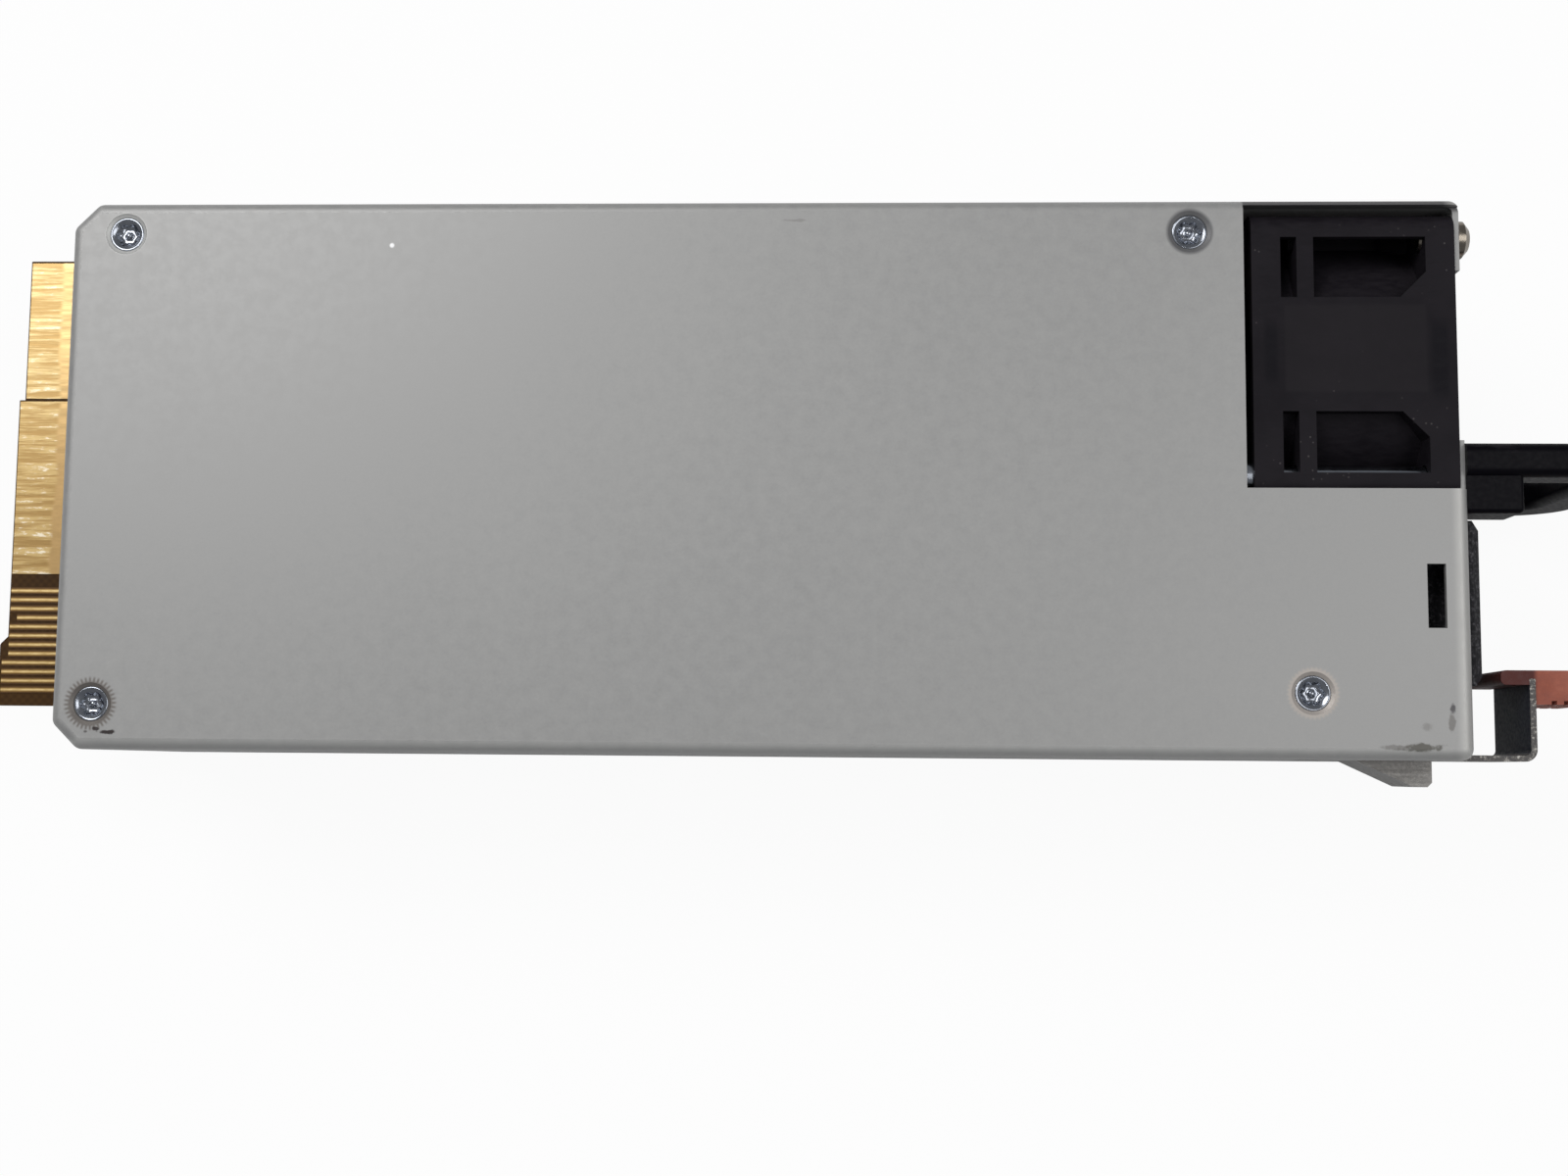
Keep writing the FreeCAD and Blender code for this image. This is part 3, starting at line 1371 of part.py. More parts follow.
def make_capacitors():
    bulk = turned("bulk_capacitor", "x", can_profile("bulk_radius", "bulk_length"))
    place(bulk, "bulk_x", "bulk_y", f"{BOARD_UNDER} - bulk_radius")
    can = turned("output_can", "z", can_profile("output_cap_radius", "output_cap_height"))
    flip = Rotation(Vector(1, 0, 0), 180)
    spots = [(x, y, BOARD_UNDER, flip) for x in (-58, -48.5) for y in (-27, -17.5, 16, 26)]
    outputs = copies("output_capacitors", can, spots)
    disc = turned(
        "y_disc",
        "x",
        [
            ("-y_cap_gauge / 2", "0"),
            ("-y_cap_gauge / 2", "y_cap_radius - 1"),
            ("-y_cap_gauge / 2 + 1", "y_cap_radius"),
            ("y_cap_gauge / 2 - 1", "y_cap_radius"),
            ("y_cap_gauge / 2", "y_cap_radius - 1"),
            ("y_cap_gauge / 2", "0"),
        ],
    )
    spots = [(x, y, f"{BOARD_UNDER} - y_cap_radius") for x in (64, 68) for y in (-9, -17)]
    y_caps = copies("y_capacitors", disc, spots)
    x_cap = rounded(hang("x_capacitor", "39.5", "-15.3", ("12", "5", "12")), "0.8")
    return [bulk, outputs, y_caps, x_cap]


def make_transformer():
    """The main transformer: a ferrite core with a round centre post, and the wound bobbin in its windows."""
    x, y = "transformer_x", "transformer_y"
    top, low = BOARD_UNDER, f"{BOARD_UNDER} - transformer_height"
    body = hang("transformer_block", x, y, ("transformer_length", "transformer_width", "transformer_height"))
    windows = rectangle(
        (f"{x} - transformer_length / 2 + 3", f"{x} + transformer_length / 2 - 3"),
        (f"{low} + (transformer_height - transformer_window) / 2", f"{top} - (transformer_height - transformer_window) / 2"),
    )
    sketch = draw(body, "XZ_Plane", f"-({y}) + transformer_width", windows)
    feature(body, "Pocket", sketch, "transformer_width * 2")
    window_low = f"{low} + (transformer_height - transformer_window) / 2"
    window_high = f"{top} - (transformer_height - transformer_window) / 2"
    post = rod("transformer_centre_post", "z", "transformer_post", (window_low, window_high), (x, y))
    core = fuse("transformer_core", [body, post])
    coil = turned(
        "transformer_windings",
        "z",
        rectangle(("0", "transformer_window - 0.4"), ("transformer_post + 0.15", "transformer_length / 2 - 3.3")),
    )
    place(coil, x, y, f"{window_low} + 0.2")
    return [core, coil]


def ring_choke(label, x, y, level, axis="z"):
    """A toroid core and the copper wound round it in two halves, lying or standing under the board."""
    core = turned(
        f"{label}_core",
        "z",
        rectangle(("-choke_height / 2", "choke_height / 2"), ("choke_inner", "choke_outer")),
    )
    outer = turned(
        f"{label}_sleeve",
        "z",
        [
            ("-choke_height / 2 - winding_gauge", "choke_inner - winding_gauge + 0.8"),
            ("-choke_height / 2 - winding_gauge", "choke_outer + winding_gauge - 0.8"),
            ("-choke_height / 2 - winding_gauge + 0.8", "choke_outer + winding_gauge"),
            ("choke_height / 2 + winding_gauge - 0.8", "choke_outer + winding_gauge"),
            ("choke_height / 2 + winding_gauge", "choke_outer + winding_gauge - 0.8"),
            ("choke_height / 2 + winding_gauge", "choke_inner - winding_gauge + 0.8"),
            ("choke_height / 2 + winding_gauge - 0.8", "choke_inner - winding_gauge"),
            ("-choke_height / 2 - winding_gauge + 0.8", "choke_inner - winding_gauge"),
        ],
    )
    gap = block(
        f"{label}_gap", ("-1.5", "1.5"), ("-choke_outer * 2", "choke_outer * 2"), ("-choke_height", "choke_height")
    )
    inner = turned(
        f"{label}_hollow",
        "z",
        rectangle(("-choke_height / 2", "choke_height / 2"), ("choke_inner", "choke_outer")),
    )
    winding = cut(f"{label}_turns", outer, group(f"{label}_cuts", [inner, gap]))
    turn = {"z": None, "x": TURNS["x"], "y": TURNS["y"]}[axis]
    spot = (x, y, level) if turn is None else (x, y, level, turn)
    return copies(f"{label}_ring", core, [spot]), copies(f"{label}_winding", winding, [spot])


def make_chokes():
    reach = "(choke_outer + winding_gauge)"
    flat = f"{BOARD_UNDER} - choke_height / 2 - winding_gauge"
    pfc_core, pfc_winding = ring_choke("pfc_choke", "pfc_choke_x", "pfc_choke_y", flat)
    up = f"{BOARD_UNDER} - {reach}"
    emi_core, emi_winding = ring_choke("emi_choke", "53.4", "-17.8", up, "x")
    resonant = rounded(hang("resonant_choke", "-26", "-23.6", ("21", "15", "20")), "1.2")
    standby = rounded(hang("standby_transformer", "-2", "-22", ("15", "14", "16")), "0.8")
    return [pfc_core, pfc_winding, emi_core, emi_winding, resonant, standby]


def make_heat_sink(label, x, y, side):
    """An extruded sink: an upright back with fins on one side, standing on the board's underside."""
    body = new_body(label)
    back = (f"{y} - sink_gauge / 2", f"{y} + sink_gauge / 2")
    half = "sink_length / 2"
    outline = [(f"{x} + {half}", back[0 if side == 1 else 1]), (f"{x} - {half}", back[0 if side == 1 else 1])]
    face = back[1 if side == 1 else 0]
    tip = f"{face} + {side} * sink_fin_depth"
    fins = 6
    for step in range(fins):
        start = f"{x} - {half} + {step} * (sink_length - sink_fin) / {fins - 1}"
        end = f"{start} + sink_fin"
        if step == 0:
            outline += [(start, tip), (end, tip), (end, face)]
        elif step == fins - 1:
            outline += [(start, face), (start, tip), (end, tip)]
        else:
            outline += [(start, face), (start, tip), (end, tip), (end, face)]
    feature(body, "Pad", draw(body, "XY_Plane", f"{BOARD_UNDER} - sink_height", outline), "sink_height")
    return body


def make_transistor(label):
    """A through-hole power transistor: moulded body and a metal tab with its hole."""
    body = new_body(label)
    case = rectangle(("-transistor_width / 2", "transistor_width / 2"), ("0", "transistor_gauge"))
    feature(body, "Pad", draw(body, "XY_Plane", "-transistor_height", case), "transistor_height * 0.6")
    tab = rectangle(("-transistor_width / 2", "transistor_width / 2"), ("0", "1.3"))
    feature(body, "Pad", draw(body, "XY_Plane", "-transistor_height * 1.35", tab), "transistor_height * 0.36")
    legs = [
        rectangle((f"{step} * 2.54 - 0.4", f"{step} * 2.54 + 0.4"), ("2", "2.6"))
        for step in (-1, 0, 1)
    ]
    feature(body, "Pad", draw(body, "XY_Plane", "-transistor_height * 0.4", *legs), "transistor_height * 0.4")
    return body


def make_semiconductors():
    primary = make_heat_sink("primary_heat_sink", "22", "0", -1)
    secondary = make_heat_sink("secondary_heat_sink", "-28", "-9.5", 1)
    part = make_transistor("transistor")
    low = BOARD_UNDER
    first = copies("primary_transistors", part, [(x, "sink_gauge / 2", low) for x in (14, 28)])
    half_turn = Rotation(Vector(0, 0, 1), 180)
    second_spots = [(x, "-9.5 - sink_gauge / 2", low, half_turn) for x in (-35, -22)]
    second = copies("rectifier_transistors", part, second_spots)
    bridge = rounded(hang("bridge_rectifier", "40", "-3.2", ("4", "18", "17")), "0.6")
    return [primary, secondary, first, second, bridge]


def make_small_parts():
    relay = rounded(hang("inrush_relay", "38", "-25.5", ("10", "14", "15")), "0.5")
    control = hang("control_board", "-8.2", "9", ("board_gauge", "42", "21"))
    thermistor = turned(
        "thermistor",
        "x",
        [
            ("-2.2", "0"),
            ("-2.2", "5"),
            ("-1.2", "6"),
            ("1.2", "6"),
            ("2.2", "5"),
            ("2.2", "0"),
        ],
    )
    place(thermistor, "1", "2", f"{BOARD_UNDER} - 6")
    return [relay, control, thermistor, make_fuse()]


def make_fuse():
    """A cartridge fuse lying under the board: a ceramic tube between two metal caps."""
    barrel = turned(
        "fuse",
        "x",
        [
            ("0", "0"),
            ("0", "2.6"),
            ("4", "2.6"),
            ("4", "2.35"),
            ("10", "2.35"),
            ("10", "2.6"),
            ("14", "2.6"),
            ("14", "0"),
        ],
    )
    return place(barrel, "60.5", "-27.4", f"{BOARD_UNDER} - 2.6")


def tube(radius, points):
    """A wire along straight runs joined by tangent arcs, each arc as large as its runs allow."""
    corners = [Vector(*(number(value) for value in point)) for point in points]
    edges = []
    start = corners[0]
    for before, corner, after in zip(corners, corners[1:], corners[2:]):
        back, ahead = (before - corner), (after - corner)
        reach = 0.45 * min(back.Length, ahead.Length)
        first = corner + back.normalize() * reach
        last = corner + ahead.normalize() * reach
        turn = back.getAngle(ahead)
        middle = corner + (back + ahead).normalize() * reach * (1 / math.cos(turn / 2) - math.tan(turn / 2))
        edges.append(Part.LineSegment(start, first).toShape())
        edges.append(Part.Arc(first, middle, last).toShape())
        start = last
    edges.append(Part.LineSegment(start, corners[-1]).toShape())
    path = Part.Wire(edges)
    ring = Part.Wire([Part.Circle(corners[0], corners[1] - corners[0], number(radius)).toShape()])
    return path.makePipeShell([ring], True, False)


def make_wires():
    """Mains wires from the inlet's tails to the board, and the fan's lead with its plug."""
    tail = f"{REAR} - inlet_body_depth - pin_tail"
    routes = [
        [(tail, "inlet_y - pin_offset", "inlet_z - pin_spread"), (f"{tail} - 2.2", "inlet_y - pin_offset", "inlet_z - pin_spread")],
        [(tail, "inlet_y + pin_offset", "inlet_z"), (f"{tail} - 2.2", "inlet_y + pin_offset", "inlet_z")],
        [
            (tail, "inlet_y - pin_offset", "inlet_z + pin_spread"),
            (f"{tail} - 2.2", "inlet_y - pin_offset", "inlet_z + pin_spread"),
        ],
    ]
    routes[0].append((f"{tail} - 2.2", "inlet_y - pin_offset - 4", "inlet_z - pin_spread + 3"))
    routes[0].append((f"{tail} - 2.2", "inlet_y - pin_offset - 4", BOARD_UNDER))
    for route in routes[1:]:
        route.append((route[1][0], route[1][1], BOARD_UNDER))
    wires = named("Part::Feature", "inlet_wires")
    wires.Shape = Part.makeCompound([tube("wire_radius", route) for route in routes])
    place(wires)
    plug = hang("fan_plug", "57.5", "27", ("6", "8", "6.4"))
    leads = []
    for step in range(4):
        y = f"27 + {step - 1.5} * 1.8"
        lead = rod(f"fan_wire_{step + 1}", "x", "0.6", ("60.5", FAN_FRONT), (y, f"{BOARD_UNDER} - 3.2"))
        leads.append(lead)
    return [wires, plug, group("fan_lead", leads)]


def main():
    nodes = []
    nodes.append(make_chassis())
    nodes.append(make_cover())
    nodes.append(make_cover_screws())
    nodes.append(make_board_screws())
    nodes.append(make_standoffs())
    nodes.append(make_fan_frame())
    nodes.append(make_fan_rotor())
    nodes += make_fan_motor()
    nodes.append(make_fan_screws())
    nodes.append(make_handle())
    nodes.append(make_handle_screws())
    nodes.append(make_inlet_body())
    nodes.append(make_inlet_pins())
    nodes.append(make_status_light())
    nodes.append(make_latch_spring())
    nodes.append(make_latch_rivets())
    nodes.append(make_latch_pad())
    nodes.append(make_main_board())
    nodes.append(make_insulator())
    nodes.append(make_output_board())
    nodes.append(make_power_pads())
    nodes.append(make_signal_fingers())
    nodes.append(make_bus_bars())
    nodes.append(make_signal_header())
    nodes += make_capacitors()
    nodes += make_transformer()
    nodes += make_chokes()
    nodes += make_semiconductors()
    nodes += make_small_parts()
    nodes += make_wires()
    doc.recompute()
    check_document()
    write_nodes(nodes)


def check_document():
    for thing in doc.Objects:
        if "Invalid" in thing.State or "Error" in thing.State:
            raise RuntimeError(f"{thing.Label} failed: {thing.State}")


def write_nodes(nodes):
    os.makedirs("parts", exist_ok=True)
    bad = [node.Label for node in nodes if node.Shape.isNull() or not node.Shape.isValid()]
    if bad:
        raise RuntimeError(f"no valid shape: {bad}")
    for node in nodes:
        node.Shape.exportStep(f"parts/{node.Label}.step")


main()
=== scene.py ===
"""Looks for a hot swap server power supply: plated case, gold card edge, fan, handle, inlet and latch.

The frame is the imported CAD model, in metres: +X to the rear panel and handle, +Y to the fan's side, +Z out
of the plated face with the four flush screws. The unit lies on its cover. Sizes and places in this script
are millimetres, which MM turns into metres. The scales of noises and cells are per metre.
"""

import math

import bmesh
import bpy
from mathutils import Euler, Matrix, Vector


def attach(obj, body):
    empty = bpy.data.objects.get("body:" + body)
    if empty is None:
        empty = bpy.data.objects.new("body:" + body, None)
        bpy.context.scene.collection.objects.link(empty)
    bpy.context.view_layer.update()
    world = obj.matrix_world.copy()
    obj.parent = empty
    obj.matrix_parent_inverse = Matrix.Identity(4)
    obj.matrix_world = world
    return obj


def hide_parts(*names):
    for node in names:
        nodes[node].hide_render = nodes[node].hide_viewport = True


MM = 0.001

# the four flush screws, in the order front fan side, front latch side, rear fan side, rear latch side
BOARD_SCREWS = ((-85.0, 32.35), (-87.1, -30.8), (57.0, 32.35), (72.0, -28.3))
SCREW_SINK = 0.25
SCREW_LENGTH = 5.0
SCREW_STEPS = 60
SCREW_LOBES = 6

WINDOW_LENGTH = 28.5
FINGER_PITCH = 1.27
# radians a millimetre: a thread of the laminate's cloth every 0.6 mm
WEAVE_TURN = 5.2

CAMERA_PLACE = (13.18, -38.5, 280.0)
CAMERA_TURN = (5.589, 2.148, 0.503)
LENS = 42.53
SENSOR = 36.0
FLOOR_GLOW = 0.94

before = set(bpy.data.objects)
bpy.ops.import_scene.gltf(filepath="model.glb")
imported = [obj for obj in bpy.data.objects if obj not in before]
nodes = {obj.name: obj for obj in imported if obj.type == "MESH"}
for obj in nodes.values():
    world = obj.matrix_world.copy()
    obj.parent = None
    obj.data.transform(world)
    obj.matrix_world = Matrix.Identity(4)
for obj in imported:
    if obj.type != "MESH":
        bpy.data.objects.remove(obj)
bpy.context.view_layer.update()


def corners(name):
    """The low and high corners of a CAD node."""
    spots = [vertex.co / MM for vertex in nodes[name].data.vertices]
    low = Vector([min(spot[axis] for spot in spots) for axis in range(3)])
    high = Vector([max(spot[axis] for spot in spots) for axis in range(3)])
    return low, high


CASE_LOW, CASE_HIGH = corners("chassis")
FAN_LOW, FAN_HIGH = corners("fan_frame")
INLET_LOW, INLET_HIGH = corners("inlet_body")
HANDLE_TOP = corners("handle")[1].z
PAD_START = corners("latch_pad")[0].x
FINGERS_END = corners("signal_fingers")[1].y
FACE = CASE_HIGH.z
FRONT, REAR = CASE_LOW.x, CASE_HIGH.x
LATCH_SIDE, FAN_SIDE = CASE_LOW.y, CASE_HIGH.y


# ---------------------------------------------------------------- shader helpers


class Value:
    """A shader socket that takes part in arithmetic: each operator adds its Math node."""

    def __init__(self, paint, socket):
        self.paint = paint
        self.socket = socket

    def math(self, operation, *inputs):
        return self.paint.node("ShaderNodeMath", {"operation": operation}, dict(enumerate(inputs)))

    def __add__(self, other):
        return self.math("ADD", self, other)

    def __radd__(self, other):
        return self.math("ADD", other, self)

    def __sub__(self, other):
        return self.math("SUBTRACT", self, other)

    def __rsub__(self, other):
        return self.math("SUBTRACT", other, self)

    def __mul__(self, other):
        return self.math("MULTIPLY", self, other)

    def __rmul__(self, other):
        return self.math("MULTIPLY", other, self)

    def __truediv__(self, other):
        return self.math("DIVIDE", self, other)

    def __pow__(self, other):
        return self.math("POWER", self, other)

    def size(self):
        return self.math("ABSOLUTE", self)

    def wave(self):
        return self.math("SINE", self)


class Paint:
    """One node material: a principled surface and the nodes that feed it."""

    def __init__(self, name):
        self.material = bpy.data.materials.new(name)
        self.material.use_nodes = True
        self.tree = self.material.node_tree
        self.tree.nodes.clear()
        self.output = self.tree.nodes.new("ShaderNodeOutputMaterial")
        self.shader = self.tree.nodes.new("ShaderNodeBsdfPrincipled")
        self.tree.links.new(self.shader.outputs["BSDF"], self.output.inputs["Surface"])
        self.place = self.node("ShaderNodeTexCoord", {}, {}, "Object")
        scaled = self.node("ShaderNodeVectorMath", {"operation": "SCALE"}, {0: self.place, "Scale": 1.0 / MM})
        self.x, self.y, self.z = self.split(scaled)

    def node(self, kind, settings, inputs, output=0):
        """Adds a node, settings first, and gives the output asked for, or the node itself for None."""
        made = self.tree.nodes.new(kind)
        for key, setting in settings.items():
            if key == "stops":
                self.set_stops(made.color_ramp, setting)
            else:
                setattr(made, key, setting)
        for key, given in inputs.items():
            self.feed(made.inputs[key], given)
        if output is None:
            return made
        return Value(self, made.outputs[output])

    def set_stops(self, ramp, stops):
        while len(ramp.elements) < len(stops):
            ramp.elements.new(0.5)
        for element, (position, color) in zip(ramp.elements, stops):
            element.position = position
            element.color = (*color, 1.0)

    def feed(self, socket, given):
        if isinstance(given, Value):
            self.tree.links.new(given.socket, socket)
        elif socket.type == "RGBA":
            socket.default_value = (*given, 1.0)
        else:
            socket.default_value = given

    def set(self, **sockets):
        for name, given in sockets.items():
            self.feed(self.shader.inputs[name.replace("_", " ")], given)

    def split(self, vector):
        parts = self.node("ShaderNodeSeparateXYZ", {}, {0: vector}, None)
        return tuple(Value(self, parts.outputs[axis]) for axis in "XYZ")

    # --- patterns, all on Object coordinates
    def stretched(self, x, y, z):
        return self.node("ShaderNodeMapping", {}, {0: self.place, "Scale": (x, y, z)})

    def noise(self, scale, detail=3.0, roughness=0.5, place=None):
        inputs = {"Vector": place or self.place, "Scale": scale, "Detail": detail, "Roughness": roughness}
        return self.node("ShaderNodeTexNoise", {}, inputs, "Fac")

    def cells(self, scale):
        return self.node("ShaderNodeTexVoronoi", {}, {"Vector": self.place, "Scale": scale}, "Distance")

    def between(self, value, low, high, to_low=0.0, to_high=1.0):
        """Rises smoothly from one value to another between low and high, and stays level outside."""
        return self.node(
            "ShaderNodeMapRange",
            {"interpolation_type": "SMOOTHSTEP"},
            {"Value": value, "From Min": low, "From Max": high, "To Min": to_low, "To Max": to_high},
        )

    def bar(self, coordinate, low, high, soft):
        """1 where a coordinate is between two values, 0 outside."""
        rising = self.between(coordinate, low - soft, low + soft)
        return rising * self.between(coordinate, high - soft, high + soft, 1.0, 0.0)

    def away(self, x, y):
        """The steps from a spot of the plan along X and Y, and the distance from it."""
        away_x = self.x - x
        away_y = self.y - y
        return away_x, away_y, (away_x * away_x + away_y * away_y) ** 0.5

    def mix(self, share, first, second):
        made = self.node("ShaderNodeMix", {"data_type": "RGBA"}, {}, None)
        self.feed(made.inputs[0], share)
        self.feed(made.inputs[6], first)
        self.feed(made.inputs[7], second)
        return Value(self, made.outputs[2])

    def ramp(self, value, *stops):
        return self.node("ShaderNodeValToRGB", {"stops": stops}, {"Fac": value}, "Color")

    def bump(self, height, depth, strength):
        """A relief of a depth in millimetres."""
        inputs = {"Height": height, "Distance": depth * MM, "Strength": strength}
        return self.node("ShaderNodeBump", {}, inputs, "Normal")


def dress(material, *names):
    """Gives CAD nodes one material all over."""
    for name in names:
        slots = nodes[name].data.materials
        slots.clear()
        slots.append(material)
        for polygon in nodes[name].data.polygons:
            polygon.material_index = 0


# ---------------------------------------------------------------- screws of the plated face


# radius, height and depth of the lobes, from the recess's middle over the rim and down to the thread's end
SCREW_PROFILE = (
    (0.00, -0.50, 0.00),
    (0.22, -0.52, 0.00),
    (0.36, -0.62, 0.00),
    (0.42, -0.84, 0.00),
    (0.52, -0.94, 0.02),
    (0.80, -0.97, 0.07),
    (1.08, -0.90, 0.10),
    (1.28, -0.72, 0.10),
    (1.42, -0.50, 0.08),
    (1.56, -0.32, 0.03),
    (1.70, -0.20, 0.01),
    (1.84, -0.13, 0.00),
    (1.98, -0.05, 0.00),
    (2.12, 0.00, 0.00),
    (2.24, -0.04, 0.00),
    (2.30, -0.12, 0.00),
    (2.27, -0.20, 0.00),
    (1.50, -1.10, 0.00),
    (1.50, 0.4 - SCREW_LENGTH, 0.00),
    (1.10, -SCREW_LENGTH, 0.00),
    (0.00, -SCREW_LENGTH, 0.00),
)
MERGE_DISTANCE = 0.001


def press_lobes(screw):
    """Moves the rings of the recess out and in, so that six lobes stand round its post."""
    for vertex in screw.verts:
        spot = (math.hypot(vertex.co.x, vertex.co.y), vertex.co.z)
        lobe = min(SCREW_PROFILE, key=lambda point: math.dist(point[:2], spot))[2]
        angle = math.atan2(vertex.co.y, vertex.co.x)
        growth = 1.0 + lobe * math.cos(SCREW_LOBES * angle)
        vertex.co.xy = vertex.co.xy * growth


def make_board_screws(material):
    """The four screws, each a spun profile, in place of the CAD's plain ones."""
    screw = bmesh.new()
    outline = [screw.verts.new((radius, 0.0, height)) for radius, height, lobe in SCREW_PROFILE]
    edges = [screw.edges.new(pair) for pair in zip(outline, outline[1:])]
    bmesh.ops.spin(
        screw,
        geom=outline + edges,
        cent=(0.0, 0.0, 0.0),
        axis=(0.0, 0.0, 1.0),
        angle=math.tau,
        steps=SCREW_STEPS,
        use_merge=True,
    )
    bmesh.ops.remove_doubles(screw, verts=screw.verts, dist=MERGE_DISTANCE)
    bmesh.ops.recalc_face_normals(screw, faces=screw.faces)
    press_lobes(screw)

    first = screw.verts[:] + screw.edges[:] + screw.faces[:]
    for x, y in BOARD_SCREWS:
        copied = bmesh.ops.duplicate(screw, geom=first)["geom"]
        placed = [part for part in copied if isinstance(part, bmesh.types.BMVert)]
        bmesh.ops.translate(screw, verts=placed, vec=(x, y, FACE - SCREW_SINK))
    bmesh.ops.delete(screw, geom=first, context="VERTS")
    bmesh.ops.scale(screw, vec=(MM, MM, MM), verts=screw.verts)

    data = bpy.data.meshes.new("board_screw_set")
    screw.to_mesh(data)
    screw.free()
    for polygon in data.polygons:
        polygon.use_smooth = True
    data.materials.append(material)
    piece = bpy.data.objects.new("board_screw_set", data)
    bpy.context.scene.collection.objects.link(piece)
    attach(piece, "case")
    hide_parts("board_screws")


# ---------------------------------------------------------------- finish of the plated sheet


# rings painted round each screw's seat: painted shade on the sunk cone round the head, with teeth where the
# seat is serrated, and a pale painted highlight for the first screw; inner and outer radius, teeth, strength,
# colour
PAINTED_SCREW_RINGS = (
    (2.2, 3.0, 0, 0.50, (0.80, 0.80, 0.77)),
    (2.1, 3.7, 36, 0.80, (0.13, 0.11, 0.095)),
    (2.1, 3.3, 0, 0.75, (0.10, 0.10, 0.105)),
    (2.3, 3.6, 36, 0.50, (0.53, 0.46, 0.40)),
)
# dirt rubbed on the plated face: its middle, half its length and width, strength, colour
SMUDGES = (
    ((85.6, -35.05), (2.60, 0.55), 0.85, (0.09, 0.085, 0.07)),
    ((82.4, -35.10), (2.20, 0.35), 0.55, (0.12, 0.11, 0.10)),
    ((89.6, -30.00), (0.40, 0.80), 0.85, (0.07, 0.065, 0.07)),
    ((89.5, -32.10), (0.40, 1.30), 0.60, (0.12, 0.11, 0.10)),
    ((86.2, -32.60), (0.70, 0.50), 0.40, (0.16, 0.15, 0.14)),
    ((-84.6, -34.45), (1.20, 0.30), 0.95, (0.02, 0.012, 0.012)),
    ((-86.1, -34.05), (0.60, 0.25), 0.90, (0.02, 0.012, 0.012)),
    ((-87.5, -34.45), (0.35, 0.20), 0.70, (0.05, 0.04, 0.04)),
    ((5.0, 34.00), (1.80, 0.22), 0.45, (0.20, 0.19, 0.18)),
)
NICK = (-48.9, 30.7)
NICK_RADIUS = 0.3


def painted_screw_ring(paint, place, inner, outer, teeth, strength):
    """A ring of painted shade and highlight round a screw's seat, with teeth outside if the seat is serrated.
    """
    away_x, away_y, distance = paint.away(*place)
    rising = paint.between(distance, inner - 0.15, inner)
    ring = rising * paint.between(distance, outer - 0.5, outer, 1.0, 0.0)
    if not teeth:
        return ring * strength
    angle = away_y.math("ARCTAN2", away_y, away_x)
    tooth = (angle * float(teeth)).wave() * 0.5 + 0.5
    near = paint.between(distance, inner + 0.6, inner + 1.1, 1.0, 0.0)
    return ring * (near + (1.0 - near) * tooth) * strength


def smudge(paint, middle, reach, grain):
    """A soft blot with a ragged outline on the plated face."""
    along = (paint.x - middle[0]) / reach[0]
    across = (paint.y - middle[1]) / reach[1]
    distance = (along * along + across * across) ** 0.5 + (grain - 0.5) * 2.4
    return paint.between(distance, 0.55, 1.15, 1.0, 0.0) * paint.between(paint.z, FACE - 1.0, FACE - 0.5)


def painted_edge_light(paint):
    """Painted shade and highlights along the sheet's bends: a share and a colour for each."""
    upper = paint.between(paint.z, FACE - 1.5, FACE - 0.8)
    window = paint.bar(paint.x, REAR - WINDOW_LENGTH, REAR + 0.5, 0.2)
    rim = window * paint.between(paint.z, FACE - 2.4, FACE - 1.6)
    rear_fold = paint.bar(paint.x, REAR - 1.9, REAR - 0.3, 0.7)
    latch_fold = paint.bar(paint.y, LATCH_SIDE + 0.55, LATCH_SIDE + 1.35, 0.4)
    return (
        # painted shade in the bend above the fan's window, painted highlights along the rear and latch-side
        # bends
        (rim * paint.between(paint.y, FAN_SIDE - 1.55, FAN_SIDE - 0.95) * 0.72, (0.05, 0.045, 0.05)),
        (rear_fold * upper * 0.5, (0.62, 0.61, 0.58)),
        (latch_fold * upper * 0.35, (0.56, 0.56, 0.54)),
    )


def plated_sheet():
    """Zinc-plated sheet steel: fine spangle, a slow cloudiness, painted shade and highlight rings round the
    screws, painted shade and highlights along the bends, and dirt.
    """
    paint = Paint("plated_sheet")
    grain = paint.noise(2300.0, 3.0, 0.7)
    spangle = paint.noise(620.0, 4.0, 0.6)
    cloud = paint.noise(14.0, 2.0, 0.5)
    ragged = paint.noise(800.0, 4.0, 0.6)
    color = paint.ramp(
        grain * 0.34 + spangle * 0.46 + cloud * 0.2,
        (0.34, (0.322, 0.320, 0.314)),
        (0.50, (0.352, 0.349, 0.342)),
        (0.68, (0.384, 0.380, 0.371)),
    )
    # painted shade and highlight rings round the four screws
    for place, (inner, outer, teeth, strength, tint) in zip(BOARD_SCREWS, PAINTED_SCREW_RINGS):
        color = paint.mix(painted_screw_ring(paint, place, inner, outer, teeth, strength), color, tint)
    # painted shade and highlights along the bends
    for share, tint in painted_edge_light(paint):
        color = paint.mix(share, color, tint)
    for middle, reach, strength, tint in SMUDGES:
        color = paint.mix(smudge(paint, middle, reach, ragged) * strength, color, tint)
    nick = paint.between(paint.away(*NICK)[2], NICK_RADIUS * 0.5, NICK_RADIUS * 1.5, 1.0, 0.0)
    color = paint.mix(nick * 0.9, color, (0.85, 0.85, 0.85))
    paint.set(
        Base_Color=color,
        Metallic=0.45,
        Roughness=paint.between(spangle * 0.6 + grain * 0.4, 0.3, 0.7, 0.47, 0.56),
        Normal=paint.bump(grain * 0.6 + spangle * 0.4, 0.008, 0.25),
    )
    return paint.material


# ---------------------------------------------------------------- finishes of the other pieces


